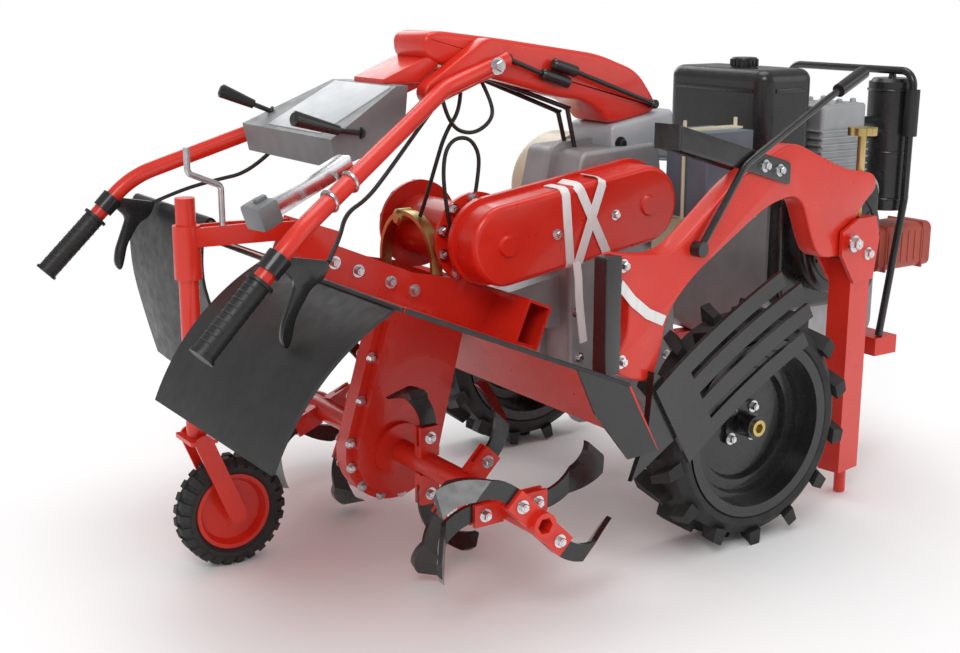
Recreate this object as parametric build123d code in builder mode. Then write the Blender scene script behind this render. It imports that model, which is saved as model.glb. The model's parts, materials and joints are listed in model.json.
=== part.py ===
"""Walk-behind power tiller: two lugged drive wheels, a diesel engine in front, a rotary tiller with a tail wheel
behind, drooping handlebars, and a slatted plough lashed over the right wheel.

Millimetres. While it is modelled, x runs forward from the axle line, y to the operator's left and z up from
the ground. The finished pieces are shifted so that the origin is the middle of the footprint.
"""

import os
from math import atan2, cos, degrees, hypot, pi, radians, sin

from build123d import *

# Clearances
RUN_GAP = 0.05  # radial gap of a shaft in its bore
SEAT_GAP = 0.3  # gap between faces that seat on each other
BEAD_GAP = 1  # gap between a rim's seat and its tyre
TOOL_GAP = 8  # least gap between a moving piece and what it passes

# Drive wheels
WHEEL_R = 250
TYRE_W = 130
TRACK = 790  # between the wheels' middle planes
RIM_R = 186
RIM_SEAT_R = 172
CARCASS_R = 224
LUGS_PER_SIDE = 14
LUG_W = 26
LUG_SWEEP = 34
AXLE_R = 17
HUB_R = 25
HUB_OUT = 50  # hub's reach outside the wheel's middle plane
HUB_IN = 40

# Tail wheel
TAIL_R = 112
TAIL_RIM_R = 78
TAIL_W = 56
TAIL_X = -938
TAIL_Y = 70
TAIL_PIN_R = 8
TAIL_POST_X = -1000
TAIL_POST_R = 19
TAIL_POST_TOP = 742
TAIL_SLEEVE_LOW = 588
TAIL_SLEEVE_TOP = 690
TAIL_SLEEVE_R = 26
FORK_LEG_W = 36
FORK_LEG_T = 6
FORK_CROWN_Z = 268
FORK_CROWN_T = 8

# Tiller rotor
ROTOR_X = -610
ROTOR_Z = 206
ROTOR_R = 198  # tine tips
ROTOR_HALF = 545
SHAFT_R = 24
TINE_W = 34
TINE_T = 8
HOLDER_L = 62
HOLDER_T = 8
STATION_Y = (150, 290, 430, 520)  # tine stations along each half of the shaft

# Tiller chain case, frame and hood
CASE_HALF = 42
CASE_END_R = 96
CASE_TOP = (-505, 520)
CASE_FLANGE = 16
HOOD_HALF = 560
HOOD_T = 4
HOOD_REAR = (-900, 632)
HOOD_FRONT = (-440, 436)
HOOD_SKIRT = (-372, 306)
FRAME_HALF = 112
FRAME_T = 8
FRAME_H = 66
REAR_PLATE_H = 92
INPUT_R = 62  # input housing between the cheeks' round heads
SECTOR_PIN_R = 10
CROSS_TUBE = (60, 92, 6)  # width, height, wall
CROSS_TUBE_HALF = 225
APRON_T = 6
APRON_LOW = (-1122, 398)
APRON_MID = (-985, 580)
APRON_RIGHT = (-45, 485)  # inner edge's y and width
APRON_LEFT = (120, 410)

# Drive cover on the right side
COVER_REAR = (-468, 640)
COVER_FRONT = (-118, 690)
COVER_R = 80
COVER_BACK_Y = -146
COVER_FACE_Y = -224
COVER_LIP = 8
COVER_LIP_T = 12

# Gearbox and its top cover
BOX_HALF = 95
BOX_FLANGE = 12
AXLE_HOUSING_R = 46
AXLE_HOUSING_HALF = 250
SADDLE_TOP = 868
SADDLE_LOW = 738
SADDLE_X = (-244, 70)
SADDLE_HALF = 124
SADDLE_T = 6
SADDLE_NOTCH_R = 56
GUARD_R = 122  # belt guard on the left side
GUARD_AT = (-30, 680)

# Handle
BEAM_HALF = 55
BEAM_HOOD_HALF = 78
TUBE_R = 16
GRIP_R = 20
CONSOLE_TOP = 945
GRIP_END = (-1169, 398, 567)
GRIP_START = (-1064, 391, 670)
BEND_BACK = 0.72  # how far before the grip its tube bends, in grip lengths
TUBE_SHOULDER = (-545, 120, 936)
TUBE_ROOT = (-385, 95.5, 986)

# Engine, battery and front
RAIL_Z = 300
RAIL_H = 44
RAIL_HALF = 116
RAIL_X = (96.2, 700)
ENGINE_X = (285, 655)
ENGINE_HALF = 165
ENGINE_TOP = 690
CRANK = (445, 572)
RECOIL_R = 132
SHROUD_T = 34
TANK_X = (262, 425)
TANK_HALF = 160
TANK_Z = (690.3, 946)
CLEANER_AT = (722, -126)
CLEANER_R = 54
CLEANER_Z = (600, 905)
BATTERY_X = (6, 136)
BATTERY_Y = (-262, -132)
BATTERY_Z = (650, 832)
GUARD_BAR_R = 9
GUARD_HALF = 198
GUARD_TOP = 932

# Plough
PLOUGH_Y = -350
POST_X = (332, 408)
POST_HALF = 27
POST_Z = (62, 548)
BEAM_T = 46
PIVOT = (306, 592)

pieces = {}


def side(y, x=0, z=0):
    """Plane across y, drawn in x and z; extrusions grow to the operator's right."""
    return Plane(origin=(x, y, z), x_dir=(1, 0, 0), z_dir=(0, -1, 0))


def front(x):
    """Plane across x, drawn in y and z; extrusions grow forward."""
    return Plane(origin=(x, 0, 0), x_dir=(0, 1, 0), z_dir=(1, 0, 0))


def radial(x, y, z):
    """Plane through a lateral axis, drawn along the axis and out from it."""
    return Plane(origin=(x, y, z), x_dir=(0, 1, 0), z_dir=(1, 0, 0))


def lateral(x, z):
    """Axis across the machine."""
    return Axis((x, 0, z), (0, 1, 0))


def keep(label, part):
    """Files a finished piece under its node's name."""
    part.label = label
    pieces[label] = part


def mirrored(part):
    """The same piece on the operator's left."""
    return part.mirror(Plane.XZ)


def tube(points, radius, bends):
    """Round bar along straight runs joined by tangent arcs."""
    with BuildPart() as bar:
        with BuildLine() as path:
            FilletPolyline(*points, radius=bends)
        with BuildSketch(Plane(origin=path.wire() @ 0, z_dir=path.wire() % 0)):
            Circle(radius)
        sweep(path=path.wire())
    return bar.part


def rod(start, end, radius):
    """Straight round bar between two points."""
    run = end - start
    with BuildPart() as bar:
        with BuildSketch(Plane(origin=start, z_dir=run)):
            Circle(radius)
        extrude(amount=run.length)
    return bar.part


def along(start, end, share):
    """Point at a share of the way from start to end."""
    return tuple(a + share * (b - a) for a, b in zip(start, end))


# Drive wheels
def lug():
    """One tread bar on top of the wheel, running out to the left shoulder."""
    with BuildPart() as bar:
        with BuildSketch(Plane.XY.offset(CARCASS_R - 8)):
            with BuildLine():
                Polyline(
                    (-LUG_W / 2, -6),
                    (LUG_W / 2, -6),
                    (LUG_W / 2 + LUG_SWEEP, TYRE_W / 2),
                    (LUG_SWEEP - LUG_W / 2 - 6, TYRE_W / 2),
                    close=True,
                )
            make_face()
        extrude(amount=WHEEL_R - CARCASS_R + 8, taper=6)
    return bar.part


def drive_tyre():
    """Tyre about the y axis at the origin: a carcass with two staggered rows of bars."""
    pitch = 360 / LUGS_PER_SIDE
    bars = []
    left_bar = lug()
    for shift, bar in ((0.25, left_bar), (-0.25, mirrored(left_bar))):
        for k in range(LUGS_PER_SIDE):
            bars.append(bar.rotate(Axis.Y, (k + shift) * pitch))
    half = TYRE_W / 2
    bead = half - 13.3
    with BuildPart() as tyre:
        with BuildSketch(radial(0, 0, 0)):
            with BuildLine():
                Polyline(
                    (-bead, RIM_SEAT_R),
                    (bead, RIM_SEAT_R),
                    (bead + 3, RIM_R + 0.5),
                    (half - 5, RIM_R + 5),
                    (half - 3, RIM_R + 18),
                    (half - 18, CARCASS_R),
                    (18 - half, CARCASS_R),
                    (3 - half, RIM_R + 18),
                    (5 - half, RIM_R + 5),
                    (-bead - 3, RIM_R + 0.5),
                    close=True,
                )
            make_face()
        revolve(axis=Axis.Y)
        add(bars)
        Cylinder(WHEEL_R, TYRE_W + 2, rotation=(90, 0, 0), mode=Mode.INTERSECT)
    return tyre.part


def wheel_disc():
    """Stepped pressed disc and bolted hub of the right wheel, about the y axis at the origin."""
    seat = RIM_SEAT_R - BEAD_GAP
    half = TYRE_W / 2
    with BuildPart() as disc:
        with BuildSketch(radial(0, 0, 0)):
            with BuildLine():
                Polyline(
                    (5 - half, RIM_R),
                    (10 - half, RIM_R),
                    (13 - half, seat),
                    (half - 13, seat),
                    (half - 10, RIM_R),
                    (half - 5, RIM_R),
                    (half - 7, seat - 6),
                    (-20, seat - 6),
                    (-20, seat - 20),
                    (-6, seat - 25),
                    (-6, seat - 46),
                    (8, seat - 52),
                    (8, HUB_R - 2),
                    (3, HUB_R - 2),
                    (3, seat - 56),
                    (-11, seat - 50),
                    (-11, seat - 29),
                    (-25, seat - 24),
                    (-25, seat - 6),
                    (7 - half, seat - 6),
                    close=True,
                )
            make_face()
        revolve(axis=Axis.Y)
        with BuildSketch(side(3)):
            RectangleRounded(84, 84, 8)
        extrude(amount=8)
        with BuildSketch(side(HUB_IN)):
            Circle(HUB_R)
        extrude(amount=HUB_IN + HUB_OUT)
        with BuildSketch(side(HUB_IN)):
            Circle(AXLE_R + RUN_GAP)
        extrude(amount=HUB_IN + HUB_OUT, mode=Mode.SUBTRACT)
    return disc.part


tyre = drive_tyre()
disc = wheel_disc()
right_wheel = Location((0, -TRACK / 2, WHEEL_R))
keep("tyre_right", tyre.moved(right_wheel))
keep("wheel_right", disc.moved(right_wheel))
keep("tyre_left", mirrored(tyre.moved(right_wheel)))
keep("wheel_left", mirrored(disc.moved(right_wheel)))

axle_end = TRACK / 2 + HUB_OUT + 6
with BuildPart() as axle:
    with BuildSketch(side(axle_end, 0, WHEEL_R)):
        Circle(AXLE_R)
    extrude(amount=2 * axle_end)
    for end, reach in ((-axle_end, -1), (axle_end, 1)):
        with BuildSketch(side(end, 0, WHEEL_R)):
            RegularPolygon(AXLE_R * 0.62, 6)
        extrude(amount=14 * reach, mode=Mode.SUBTRACT)
keep("axle", axle.part)

# Slope of the hood's top, which the tiller's frame lies along
HOOD_SLOPE = atan2(HOOD_FRONT[1] - HOOD_REAR[1], HOOD_FRONT[0] - HOOD_REAR[0])
hood_dir = (cos(HOOD_SLOPE), sin(HOOD_SLOPE))
hood_up = (-hood_dir[1], hood_dir[0])


def over_hood(x, lift):
    """Point that lies lift above the hood's sloping top, at about this x."""
    run = (x - HOOD_REAR[0]) / hood_dir[0]
    return (
        HOOD_REAR[0] + run * hood_dir[0] + lift * hood_up[0],
        HOOD_REAR[1] + run * hood_dir[1] + lift * hood_up[1],
    )


deck = HOOD_T + SEAT_GAP
SECTOR_PIN = over_hood(-600, deck + 48)
cheek_rear, cheek_front = -815, -385
tube_at = over_hood(cheek_front - CROSS_TUBE[0] / 2 - 12, deck + CROSS_TUBE[1] / 2)
HITCH_HALF = 62
HITCH_FACE = [
    over_hood(cheek_front - 12 + SEAT_GAP, deck + lift) for lift in (4, CROSS_TUBE[1] - 2)
]

# Gearbox casting with its parting flange, axle housings and rear hitch block
BOX_OUTLINE = (
    (-120, 178),
    (-215, 330),
    (-225, 640),
    (-190, 790),
    (20, 800),
    (36, 690),
    (78, 560),
    (84, 330),
    (84, 230),
    (50, 166),
)
with BuildPart() as gearbox:
    with BuildSketch(side(BOX_HALF)) as box_face:
        with BuildLine():
            Polyline(*BOX_OUTLINE, close=True)
        make_face()
        fillet(box_face.vertices(), 22)
    extrude(amount=2 * BOX_HALF)
    fillet(gearbox.edges().filter_by_position(Axis.Y, -BOX_HALF, -BOX_HALF), 10)
    with BuildSketch(side(BOX_FLANGE / 2)) as rib:
        add(box_face.sketch.moved(Location((0, BOX_FLANGE / 2 - BOX_HALF, 0))))
        offset(amount=BOX_FLANGE)
    extrude(amount=BOX_FLANGE)
    with BuildSketch(side(AXLE_HOUSING_HALF, 0, WHEEL_R)):
        Circle(AXLE_HOUSING_R)
    extrude(amount=2 * AXLE_HOUSING_HALF)
    with BuildSketch(side(AXLE_HOUSING_HALF, 0, WHEEL_R)):
        Circle(AXLE_R + SEAT_GAP)
    extrude(amount=2 * AXLE_HOUSING_HALF, mode=Mode.SUBTRACT)
    with BuildSketch(side(HITCH_HALF)):
        with BuildLine():
            Polyline(HITCH_FACE[0], HITCH_FACE[1], (-150, 540), (-150, 410), close=True)
        make_face()
    extrude(amount=2 * HITCH_HALF)
keep("gearbox", gearbox.part)

# Grey saddle over the gearbox, open below, notched on its right face
saddle_mid = sum(SADDLE_X) / 2
saddle_len = SADDLE_X[1] - SADDLE_X[0]
with BuildPart() as saddle:
    with BuildSketch(side(SADDLE_HALF)) as saddle_face:
        with Locations((saddle_mid, (SADDLE_LOW + SADDLE_TOP) / 2)):
            Rectangle(saddle_len, SADDLE_TOP - SADDLE_LOW)
        fillet(saddle_face.vertices().group_by(Axis.Z)[-1], 30)
    extrude(amount=2 * SADDLE_HALF)
    fillet(saddle.faces().sort_by(Axis.Y)[0].edges().group_by(Axis.Z)[1:], 12)
    with BuildSketch(side(SADDLE_HALF - SADDLE_T)) as hollow:
        with Locations((saddle_mid, (SADDLE_LOW + SADDLE_TOP - SADDLE_T) / 2)):
            Rectangle(saddle_len - 2 * SADDLE_T, SADDLE_TOP - SADDLE_LOW - SADDLE_T)
        fillet(hollow.vertices().group_by(Axis.Z)[-1], 24)
    extrude(amount=2 * (SADDLE_HALF - SADDLE_T), mode=Mode.SUBTRACT)
    with BuildSketch(side(0)):
        with Locations((saddle_mid, SADDLE_LOW)):
            Circle(SADDLE_NOTCH_R)
    extrude(amount=SADDLE_HALF + 1, mode=Mode.SUBTRACT)
keep("saddle_cover", saddle.part)

# Cream belt guard on the left of the gearbox
with BuildPart() as guard:
    with BuildSketch(side(232, *GUARD_AT)):
        Circle(GUARD_R)
    extrude(amount=232 - BOX_HALF - 30)
    fillet(guard.faces().sort_by(Axis.Y)[-1].edges(), 24)
    with BuildSketch(side(BOX_HALF + 30, *GUARD_AT)):
        Circle(52)
    extrude(amount=30)
keep("belt_guard", guard.part)

# Red drive cover on the right, from the gearbox back to the tiller
cover_run = (COVER_FRONT[0] - COVER_REAR[0], COVER_FRONT[1] - COVER_REAR[1])
cover_mid = along(COVER_REAR, COVER_FRONT, 0.5)
cover_tilt = degrees(atan2(cover_run[1], cover_run[0]))
with BuildPart() as cover:
    with BuildSketch(side(COVER_BACK_Y)):
        with Locations(Location((*cover_mid, 0), (0, 0, cover_tilt))):
            SlotCenterToCenter(hypot(*cover_run), 2 * (COVER_R + COVER_LIP))
    extrude(amount=COVER_LIP_T)
    with BuildSketch(side(COVER_BACK_Y)):
        with Locations(Location((*cover_mid, 0), (0, 0, cover_tilt))):
            SlotCenterToCenter(hypot(*cover_run), 2 * COVER_R)
    extrude(amount=COVER_BACK_Y - COVER_FACE_Y)
    fillet(cover.faces().sort_by(Axis.Y)[0].edges(), 12)
    with BuildSketch(side(COVER_FACE_Y)):
        with Locations(COVER_REAR, COVER_FRONT):
            Circle(22)
    extrude(amount=6, taper=30)
    with BuildSketch(side(COVER_BACK_Y)):
        with Locations(COVER_FRONT):
            Circle(52)
    extrude(amount=COVER_BACK_Y + BOX_HALF)
    with BuildSketch(side(COVER_BACK_Y)):
        with Locations(COVER_REAR):
            Circle(52)
    extrude(amount=COVER_BACK_Y + FRAME_HALF)
keep("drive_cover", cover.part)

# Tiller frame: cross tube, two side cheeks with round heads, and a rear plate
with BuildPart() as frame:
    with BuildSketch(side(-FRAME_HALF + FRAME_T)):
        with BuildLine():
            Polyline(
                over_hood(cheek_rear, deck),
                over_hood(cheek_front, deck),
                over_hood(cheek_front, deck + 82),
                over_hood(-560, deck + 82),
                over_hood(-640, deck + FRAME_H),
                over_hood(cheek_rear, deck + FRAME_H),
                close=True,
            )
        make_face()
        with Locations(COVER_REAR):
            Circle(92)
    extrude(amount=FRAME_T)
    mirror(about=Plane.XZ)
    tilt = degrees(HOOD_SLOPE)
    with BuildSketch(side(CROSS_TUBE_HALF)):
        with Locations(Location((*tube_at, 0), (0, 0, tilt))):
            Rectangle(CROSS_TUBE[0], CROSS_TUBE[1])
    extrude(amount=2 * CROSS_TUBE_HALF)
    with BuildSketch(side(CROSS_TUBE_HALF)):
        with Locations(Location((*tube_at, 0), (0, 0, tilt))):
            Rectangle(CROSS_TUBE[0] - 2 * CROSS_TUBE[2], CROSS_TUBE[1] - 2 * CROSS_TUBE[2])
    extrude(amount=2 * CROSS_TUBE_HALF, mode=Mode.SUBTRACT)
    rear_at = over_hood(cheek_rear + FRAME_T / 2, deck + REAR_PLATE_H / 2)
    with BuildSketch(side(FRAME_HALF)):
        with Locations(Location((*rear_at, 0), (0, 0, tilt))):
            Rectangle(FRAME_T, REAR_PLATE_H)
    extrude(amount=2 * FRAME_HALF)
    with BuildSketch(side(FRAME_HALF)):
        with Locations(COVER_REAR):
            Circle(INPUT_R)
        with Locations(SECTOR_PIN):
            Circle(SECTOR_PIN_R)
    extrude(amount=2 * FRAME_HALF)
keep("tiller_frame", frame.part)

# Tiller chain case under the hood
case_run = (CASE_TOP[0] - ROTOR_X, CASE_TOP[1] - ROTOR_Z)
under = over_hood(CASE_TOP[0], -SEAT_GAP)


def case_outline(grow):
    """Outline of the chain case, round at the rotor and square under the hood."""
    reach = CASE_END_R + grow
    with BuildSketch(side(0)) as outline:
        with Locations((ROTOR_X, ROTOR_Z)):
            Circle(reach)
        with BuildLine():
            Polyline(
                (ROTOR_X - reach * 0.97, ROTOR_Z + reach * 0.24),
                over_hood(ROTOR_X - 8 - grow, -SEAT_GAP),
                over_hood(HOOD_FRONT[0] - 12, -SEAT_GAP),
                (ROTOR_X + reach * 0.97, ROTOR_Z - reach * 0.24),
                close=True,
            )
        make_face()
    return outline.sketch


with BuildPart() as case:
    add(case_outline(0).moved(Location((0, CASE_HALF, 0))))
    extrude(amount=2 * CASE_HALF, dir=(0, -1, 0))
    add(case_outline(CASE_FLANGE).moved(Location((0, CASE_HALF - 22, 0))))
    extrude(amount=2 * (CASE_HALF - 22), dir=(0, -1, 0))
    with BuildSketch(side(CASE_HALF + 14)):
        with Locations((ROTOR_X, ROTOR_Z)):
            Circle(58)
    extrude(amount=2 * (CASE_HALF + 14))
    with BuildSketch(side(CASE_HALF + 14)):
        with Locations((ROTOR_X, ROTOR_Z)):
            Circle(SHAFT_R + RUN_GAP)
    extrude(amount=2 * (CASE_HALF + 14), mode=Mode.SUBTRACT)
keep("chain_case", case.part)

# Hood: sloping top and front skirt in one bent sheet
with BuildPart() as hood:
    with BuildSketch(side(HOOD_HALF)):
        with BuildLine():
            Polyline(
                HOOD_REAR,
                HOOD_FRONT,
                HOOD_SKIRT,
                (HOOD_SKIRT[0] + HOOD_T, HOOD_SKIRT[1]),
                (HOOD_FRONT[0] + HOOD_T * 0.7, HOOD_FRONT[1] + HOOD_T * 0.8),
                over_hood(HOOD_REAR[0], HOOD_T),
                close=True,
            )
        make_face()
    extrude(amount=2 * HOOD_HALF)
keep("hood", hood.part)

# Rubber apron behind the rotor, one flap on each side of the tail wheel's post
apron_top = (HOOD_REAR[0] - SEAT_GAP, HOOD_REAR[1])
for name, start, width in (
    ("apron_right", APRON_RIGHT[0], APRON_RIGHT[1]),
    ("apron_left", APRON_LEFT[0] + APRON_LEFT[1], APRON_LEFT[1]),
):
    with BuildPart() as apron:
        with BuildSketch(side(start)):
            with BuildLine():
                outer = ThreePointArc(apron_top, APRON_MID, APRON_LOW)
                inner = ThreePointArc(
                    (apron_top[0], apron_top[1] - APRON_T),
                    (APRON_MID[0] + APRON_T * 0.4, APRON_MID[1] - APRON_T),
                    (APRON_LOW[0] + APRON_T, APRON_LOW[1]),
                )
                Line(outer @ 1, inner @ 1)
                Line(outer @ 0, inner @ 0)
            make_face()
        extrude(amount=width)
    keep(name, apron.part)

# Black side flap at the front right corner of the hood
with BuildPart() as flap:
    with BuildSketch(side(-HOOD_HALF)):
        with BuildLine():
            Polyline(
                over_hood(-560, 0),
                over_hood(-446, 0),
                HOOD_SKIRT,
                (HOOD_SKIRT[0] - 70, HOOD_SKIRT[1] - 4),
                (-520, 400),
                close=True,
            )
        make_face()
    extrude(amount=4)
keep("side_flap_right", flap.part)
keep("side_flap_left", mirrored(flap.part))


# Rotor: shaft, tine holders and tines
def tine(bend):
    """One hooked blade about the y axis, standing up, its tip turned to the side that bend names."""
    root, knee = SHAFT_R + 18, 62
    width = TINE_W
    with BuildPart() as blade:
        with BuildSketch(front(-ROTOR_R)):
            with BuildLine():
                Polyline(
                    (0, root),
                    (bend * TINE_T, root),
                    (bend * TINE_T, ROTOR_R - knee),
                    (bend * (TINE_T + knee - 12), ROTOR_R - 22),
                    (bend * (TINE_T + knee - 18), ROTOR_R - 15),
                    (0, ROTOR_R - knee + 5),
                    close=True,
                )
            make_face()
        extrude(amount=2 * ROTOR_R)
        with BuildSketch(side(ROTOR_R)):
            with BuildLine():
                lead = ThreePointArc(
                    (width / 2, root), (width / 2 - 8, 0.62 * ROTOR_R), (-0.36 * ROTOR_R, 0.93 * ROTOR_R)
                )
                back = ThreePointArc(
                    (-width / 2, root), (-width / 2 - 10, 0.6 * ROTOR_R), (-0.52 * ROTOR_R, 0.8 * ROTOR_R)
                )
                Line(lead @ 0, back @ 0)
                Line(lead @ 1, back @ 1)
            make_face()
        extrude(amount=2 * ROTOR_R, mode=Mode.INTERSECT)
    return blade.part


def holder():
    """Pair of plates that grips a blade's root, standing on the shaft."""
    with BuildPart() as grip:
        with BuildSketch(side(-TINE_T / 2 - SEAT_GAP)):
            with Locations((0, SHAFT_R + HOLDER_L / 2 - 6)):
                Rectangle(TINE_W + 8, HOLDER_L)
        extrude(amount=HOLDER_T)
        mirror(about=Plane.XZ)
        with BuildSketch(side(TINE_T / 2 + SEAT_GAP)):
            with Locations((0, SHAFT_R + 4)):
                Rectangle(TINE_W + 8, 24)
        extrude(amount=TINE_T + 2 * SEAT_GAP)
    return grip.part


TINE_TABLE = []  # side, station, angle and bend of each tine
for sign in (-1, 1):
    for k, y in enumerate(STATION_Y):
        for turn in (0, 180):
            bend = 1 if k % 2 == 0 else -1
            TINE_TABLE.append((sign, y, turn + k * 45 + (22.5 if sign > 0 else 0), sign * bend))

socket = holder()
sockets = []
blades = {-1: [], 1: []}
for sign, y, angle, bend in TINE_TABLE:
    place = Location((ROTOR_X, sign * y, ROTOR_Z)) * Location((0, 0, 0), (0, angle, 0))
    sockets.append(socket.moved(place))
    blades[sign].append(tine(bend).moved(place * Location((0, -bend * TINE_T / 2, 0))))

with BuildPart() as shaft:
    with BuildSketch(side(ROTOR_HALF, ROTOR_X, ROTOR_Z)):
        Circle(SHAFT_R)
    extrude(amount=2 * ROTOR_HALF)
    add(sockets)
    for sign in (-1, 1):
        with BuildSketch(side(sign * ROTOR_HALF, ROTOR_X, ROTOR_Z)):
            RegularPolygon(SHAFT_R * 0.66, 6)
        extrude(amount=30 * sign, mode=Mode.SUBTRACT)
keep("rotor_shaft", shaft.part)
for name, sign in (("tines_right", -1), ("tines_left", 1)):
    keep(name, Compound(children=blades[sign]))

# Tail wheel, its fork and its sliding post
with BuildPart() as tail_tyre:
    with BuildSketch(radial(TAIL_X, TAIL_Y, TAIL_R)):
        half = TAIL_W / 2
        with BuildLine():
            Polyline(
                (-half + 8, TAIL_RIM_R),
                (half - 8, TAIL_RIM_R),
                (half, TAIL_RIM_R + 6),
                (half, TAIL_R - 14),
                (half - 10, TAIL_R),
                (10 - half, TAIL_R),
                (-half, TAIL_R - 14),
                (-half, TAIL_RIM_R + 6),
                close=True,
            )
        make_face()
    revolve(axis=lateral(TAIL_X, TAIL_R))
keep("tail_tyre", tail_tyre.part)

with BuildPart() as tail_rim:
    with BuildSketch(radial(TAIL_X, TAIL_Y, TAIL_R)):
        seat = TAIL_RIM_R - BEAD_GAP
        with BuildLine():
            Polyline(
                (-20, seat),
                (20, seat),
                (20, seat - 8),
                (4, seat - 16),
                (4, 20),
                (26, 20),
                (26, TAIL_PIN_R + RUN_GAP),
                (-26, TAIL_PIN_R + RUN_GAP),
                (-26, 20),
                (-4, 20),
                (-4, seat - 16),
                (-20, seat - 8),
                close=True,
            )
        make_face()
    revolve(axis=lateral(TAIL_X, TAIL_R))
keep("tail_rim", tail_rim.part)

fork_half = TAIL_W / 2 + TOOL_GAP
with BuildPart() as fork:
    lean = degrees(atan2(TAIL_X - TAIL_POST_X, FORK_CROWN_Z - TAIL_R))
    for sign in (-1, 1):
        with BuildSketch(side(TAIL_Y + sign * fork_half + (FORK_LEG_T if sign > 0 else 0))):
            leg_mid = along((TAIL_X, TAIL_R), (TAIL_POST_X, FORK_CROWN_Z), 0.5)
            leg_len = hypot(TAIL_X - TAIL_POST_X, FORK_CROWN_Z - TAIL_R)
            with Locations(Location((*leg_mid, 0), (0, 0, 90 + lean))):
                SlotCenterToCenter(leg_len, FORK_LEG_W)
        extrude(amount=FORK_LEG_T)
    with BuildSketch(Plane.XY.offset(FORK_CROWN_Z)):
        with Locations((TAIL_POST_X, TAIL_Y)):
            RectangleRounded(56, 2 * (fork_half + FORK_LEG_T), 6)
    extrude(amount=FORK_CROWN_T)
    with BuildSketch(Plane.XY.offset(FORK_CROWN_Z)):
        with Locations((TAIL_POST_X, TAIL_Y)):
            Circle(TAIL_POST_R)
    extrude(amount=TAIL_POST_TOP - FORK_CROWN_Z)
    with BuildSketch(side(TAIL_Y + fork_half, TAIL_X, TAIL_R)):
        Circle(TAIL_PIN_R)
    extrude(amount=2 * fork_half)
keep("tail_fork", fork.part)

ARM_T = 8
arm_low = over_hood(cheek_rear - SEAT_GAP, deck + 50)
arm_top = over_hood(cheek_rear - SEAT_GAP, deck + REAR_PLATE_H - 4)
with BuildPart() as bracket:
    with BuildSketch(Plane.XY.offset(TAIL_SLEEVE_LOW)):
        with Locations((TAIL_POST_X, TAIL_Y)):
            Circle(TAIL_SLEEVE_R)
    extrude(amount=TAIL_SLEEVE_TOP - TAIL_SLEEVE_LOW)
    for inner in (TAIL_Y - 16, TAIL_Y + 16 + ARM_T):
        with BuildSketch(side(inner)):
            with BuildLine():
                Polyline(
                    (TAIL_POST_X, TAIL_SLEEVE_TOP - 40),
                    arm_low,
                    arm_top,
                    (-900, TAIL_SLEEVE_TOP - 4),
                    (TAIL_POST_X, TAIL_SLEEVE_TOP - 4),
                    close=True,
                )
            make_face()
        extrude(amount=ARM_T)
    with BuildSketch(Plane.XY.offset(TAIL_SLEEVE_LOW)):
        with Locations((TAIL_POST_X, TAIL_Y)):
            Circle(TAIL_POST_R + RUN_GAP)
    extrude(amount=TAIL_SLEEVE_TOP - TAIL_SLEEVE_LOW, mode=Mode.SUBTRACT)
keep("tail_bracket", bracket.part)

crank_y = TAIL_Y - 16 - ARM_T / 2
crank_z = TAIL_SLEEVE_TOP - 4 + SEAT_GAP
CRANK_RUN = ((-935, crank_z), (-935, 762), (-1000, 790), (-1000, 838))
keep("tail_crank", tube([(x, crank_y, z) for x, z in CRANK_RUN], 6, 12))

# Handle beam on the saddle, with its wider hood at the rear
BEAM_OUTLINE = (
    (-330, 918),
    (-330, 1014),
    (-60, 962),
    (44, 904),
    (44, SADDLE_TOP),
    (-112, SADDLE_TOP),
    (-130, 896),
)
BEAM_HOOD_OUTLINE = ((-612, 958), (-604, 1016), (-572, 1036), (-300, 1014), (-300, 914), (-420, 928))
with BuildPart() as beam:
    for outline, half in ((BEAM_OUTLINE, BEAM_HALF), (BEAM_HOOD_OUTLINE, BEAM_HOOD_HALF)):
        with BuildSketch(side(half)):
            with BuildLine():
                Polyline(*outline, close=True)
            make_face()
        extrude(amount=2 * half)
    with BuildSketch(Plane.XY.offset(CONSOLE_TOP + SEAT_GAP)):
        with Locations((-598, 0)):
            Rectangle(104, 70)
    extrude(amount=8)
keep("handle_beam", beam.part)

# Control console slung between the handlebars
CONSOLE_SIDE = ((-805, 806), (-815, 860), (-652, CONSOLE_TOP), (-622, CONSOLE_TOP), (-634, 846))
CONSOLE_PLAN = ((-830, -172), (-830, 216), (-615, 112), (-615, -112))
with BuildPart() as console:
    with BuildSketch(side(230)):
        with BuildLine():
            Polyline(*CONSOLE_SIDE, close=True)
        make_face()
    extrude(amount=460)
    with BuildSketch(Plane.XY.offset(CONSOLE_SIDE[0][1] - 10)):
        with BuildLine():
            Polyline(*CONSOLE_PLAN, close=True)
        make_face()
    extrude(amount=200, mode=Mode.INTERSECT)
keep("console", console.part)

LEVER_BASES = ((-786, 150), (-770, 60), (-786, -60))  # x and y on the console's sloping top
top_run = Vector(CONSOLE_SIDE[2][0] - CONSOLE_SIDE[1][0], 0, CONSOLE_SIDE[2][1] - CONSOLE_SIDE[1][1]).normalized()
top_up = Vector(-top_run.Z, 0, top_run.X)
with BuildPart() as knobs:
    for x, y in LEVER_BASES:
        z = CONSOLE_SIDE[1][1] + (x - CONSOLE_SIDE[1][0]) * top_run.Z / top_run.X
        base = Vector(x, y, z)
        with BuildSketch(Plane(origin=base, z_dir=top_up)):
            Circle(6)
        extrude(amount=34)
        with BuildSketch(Plane(origin=base + top_up * 24, z_dir=top_up)):
            Circle(11)
        extrude(amount=40, taper=-5)
keep("console_levers", knobs.part)


def left_of(point):
    """The point's mirror image on the operator's right."""
    return (point[0], -point[1], point[2])


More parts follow.
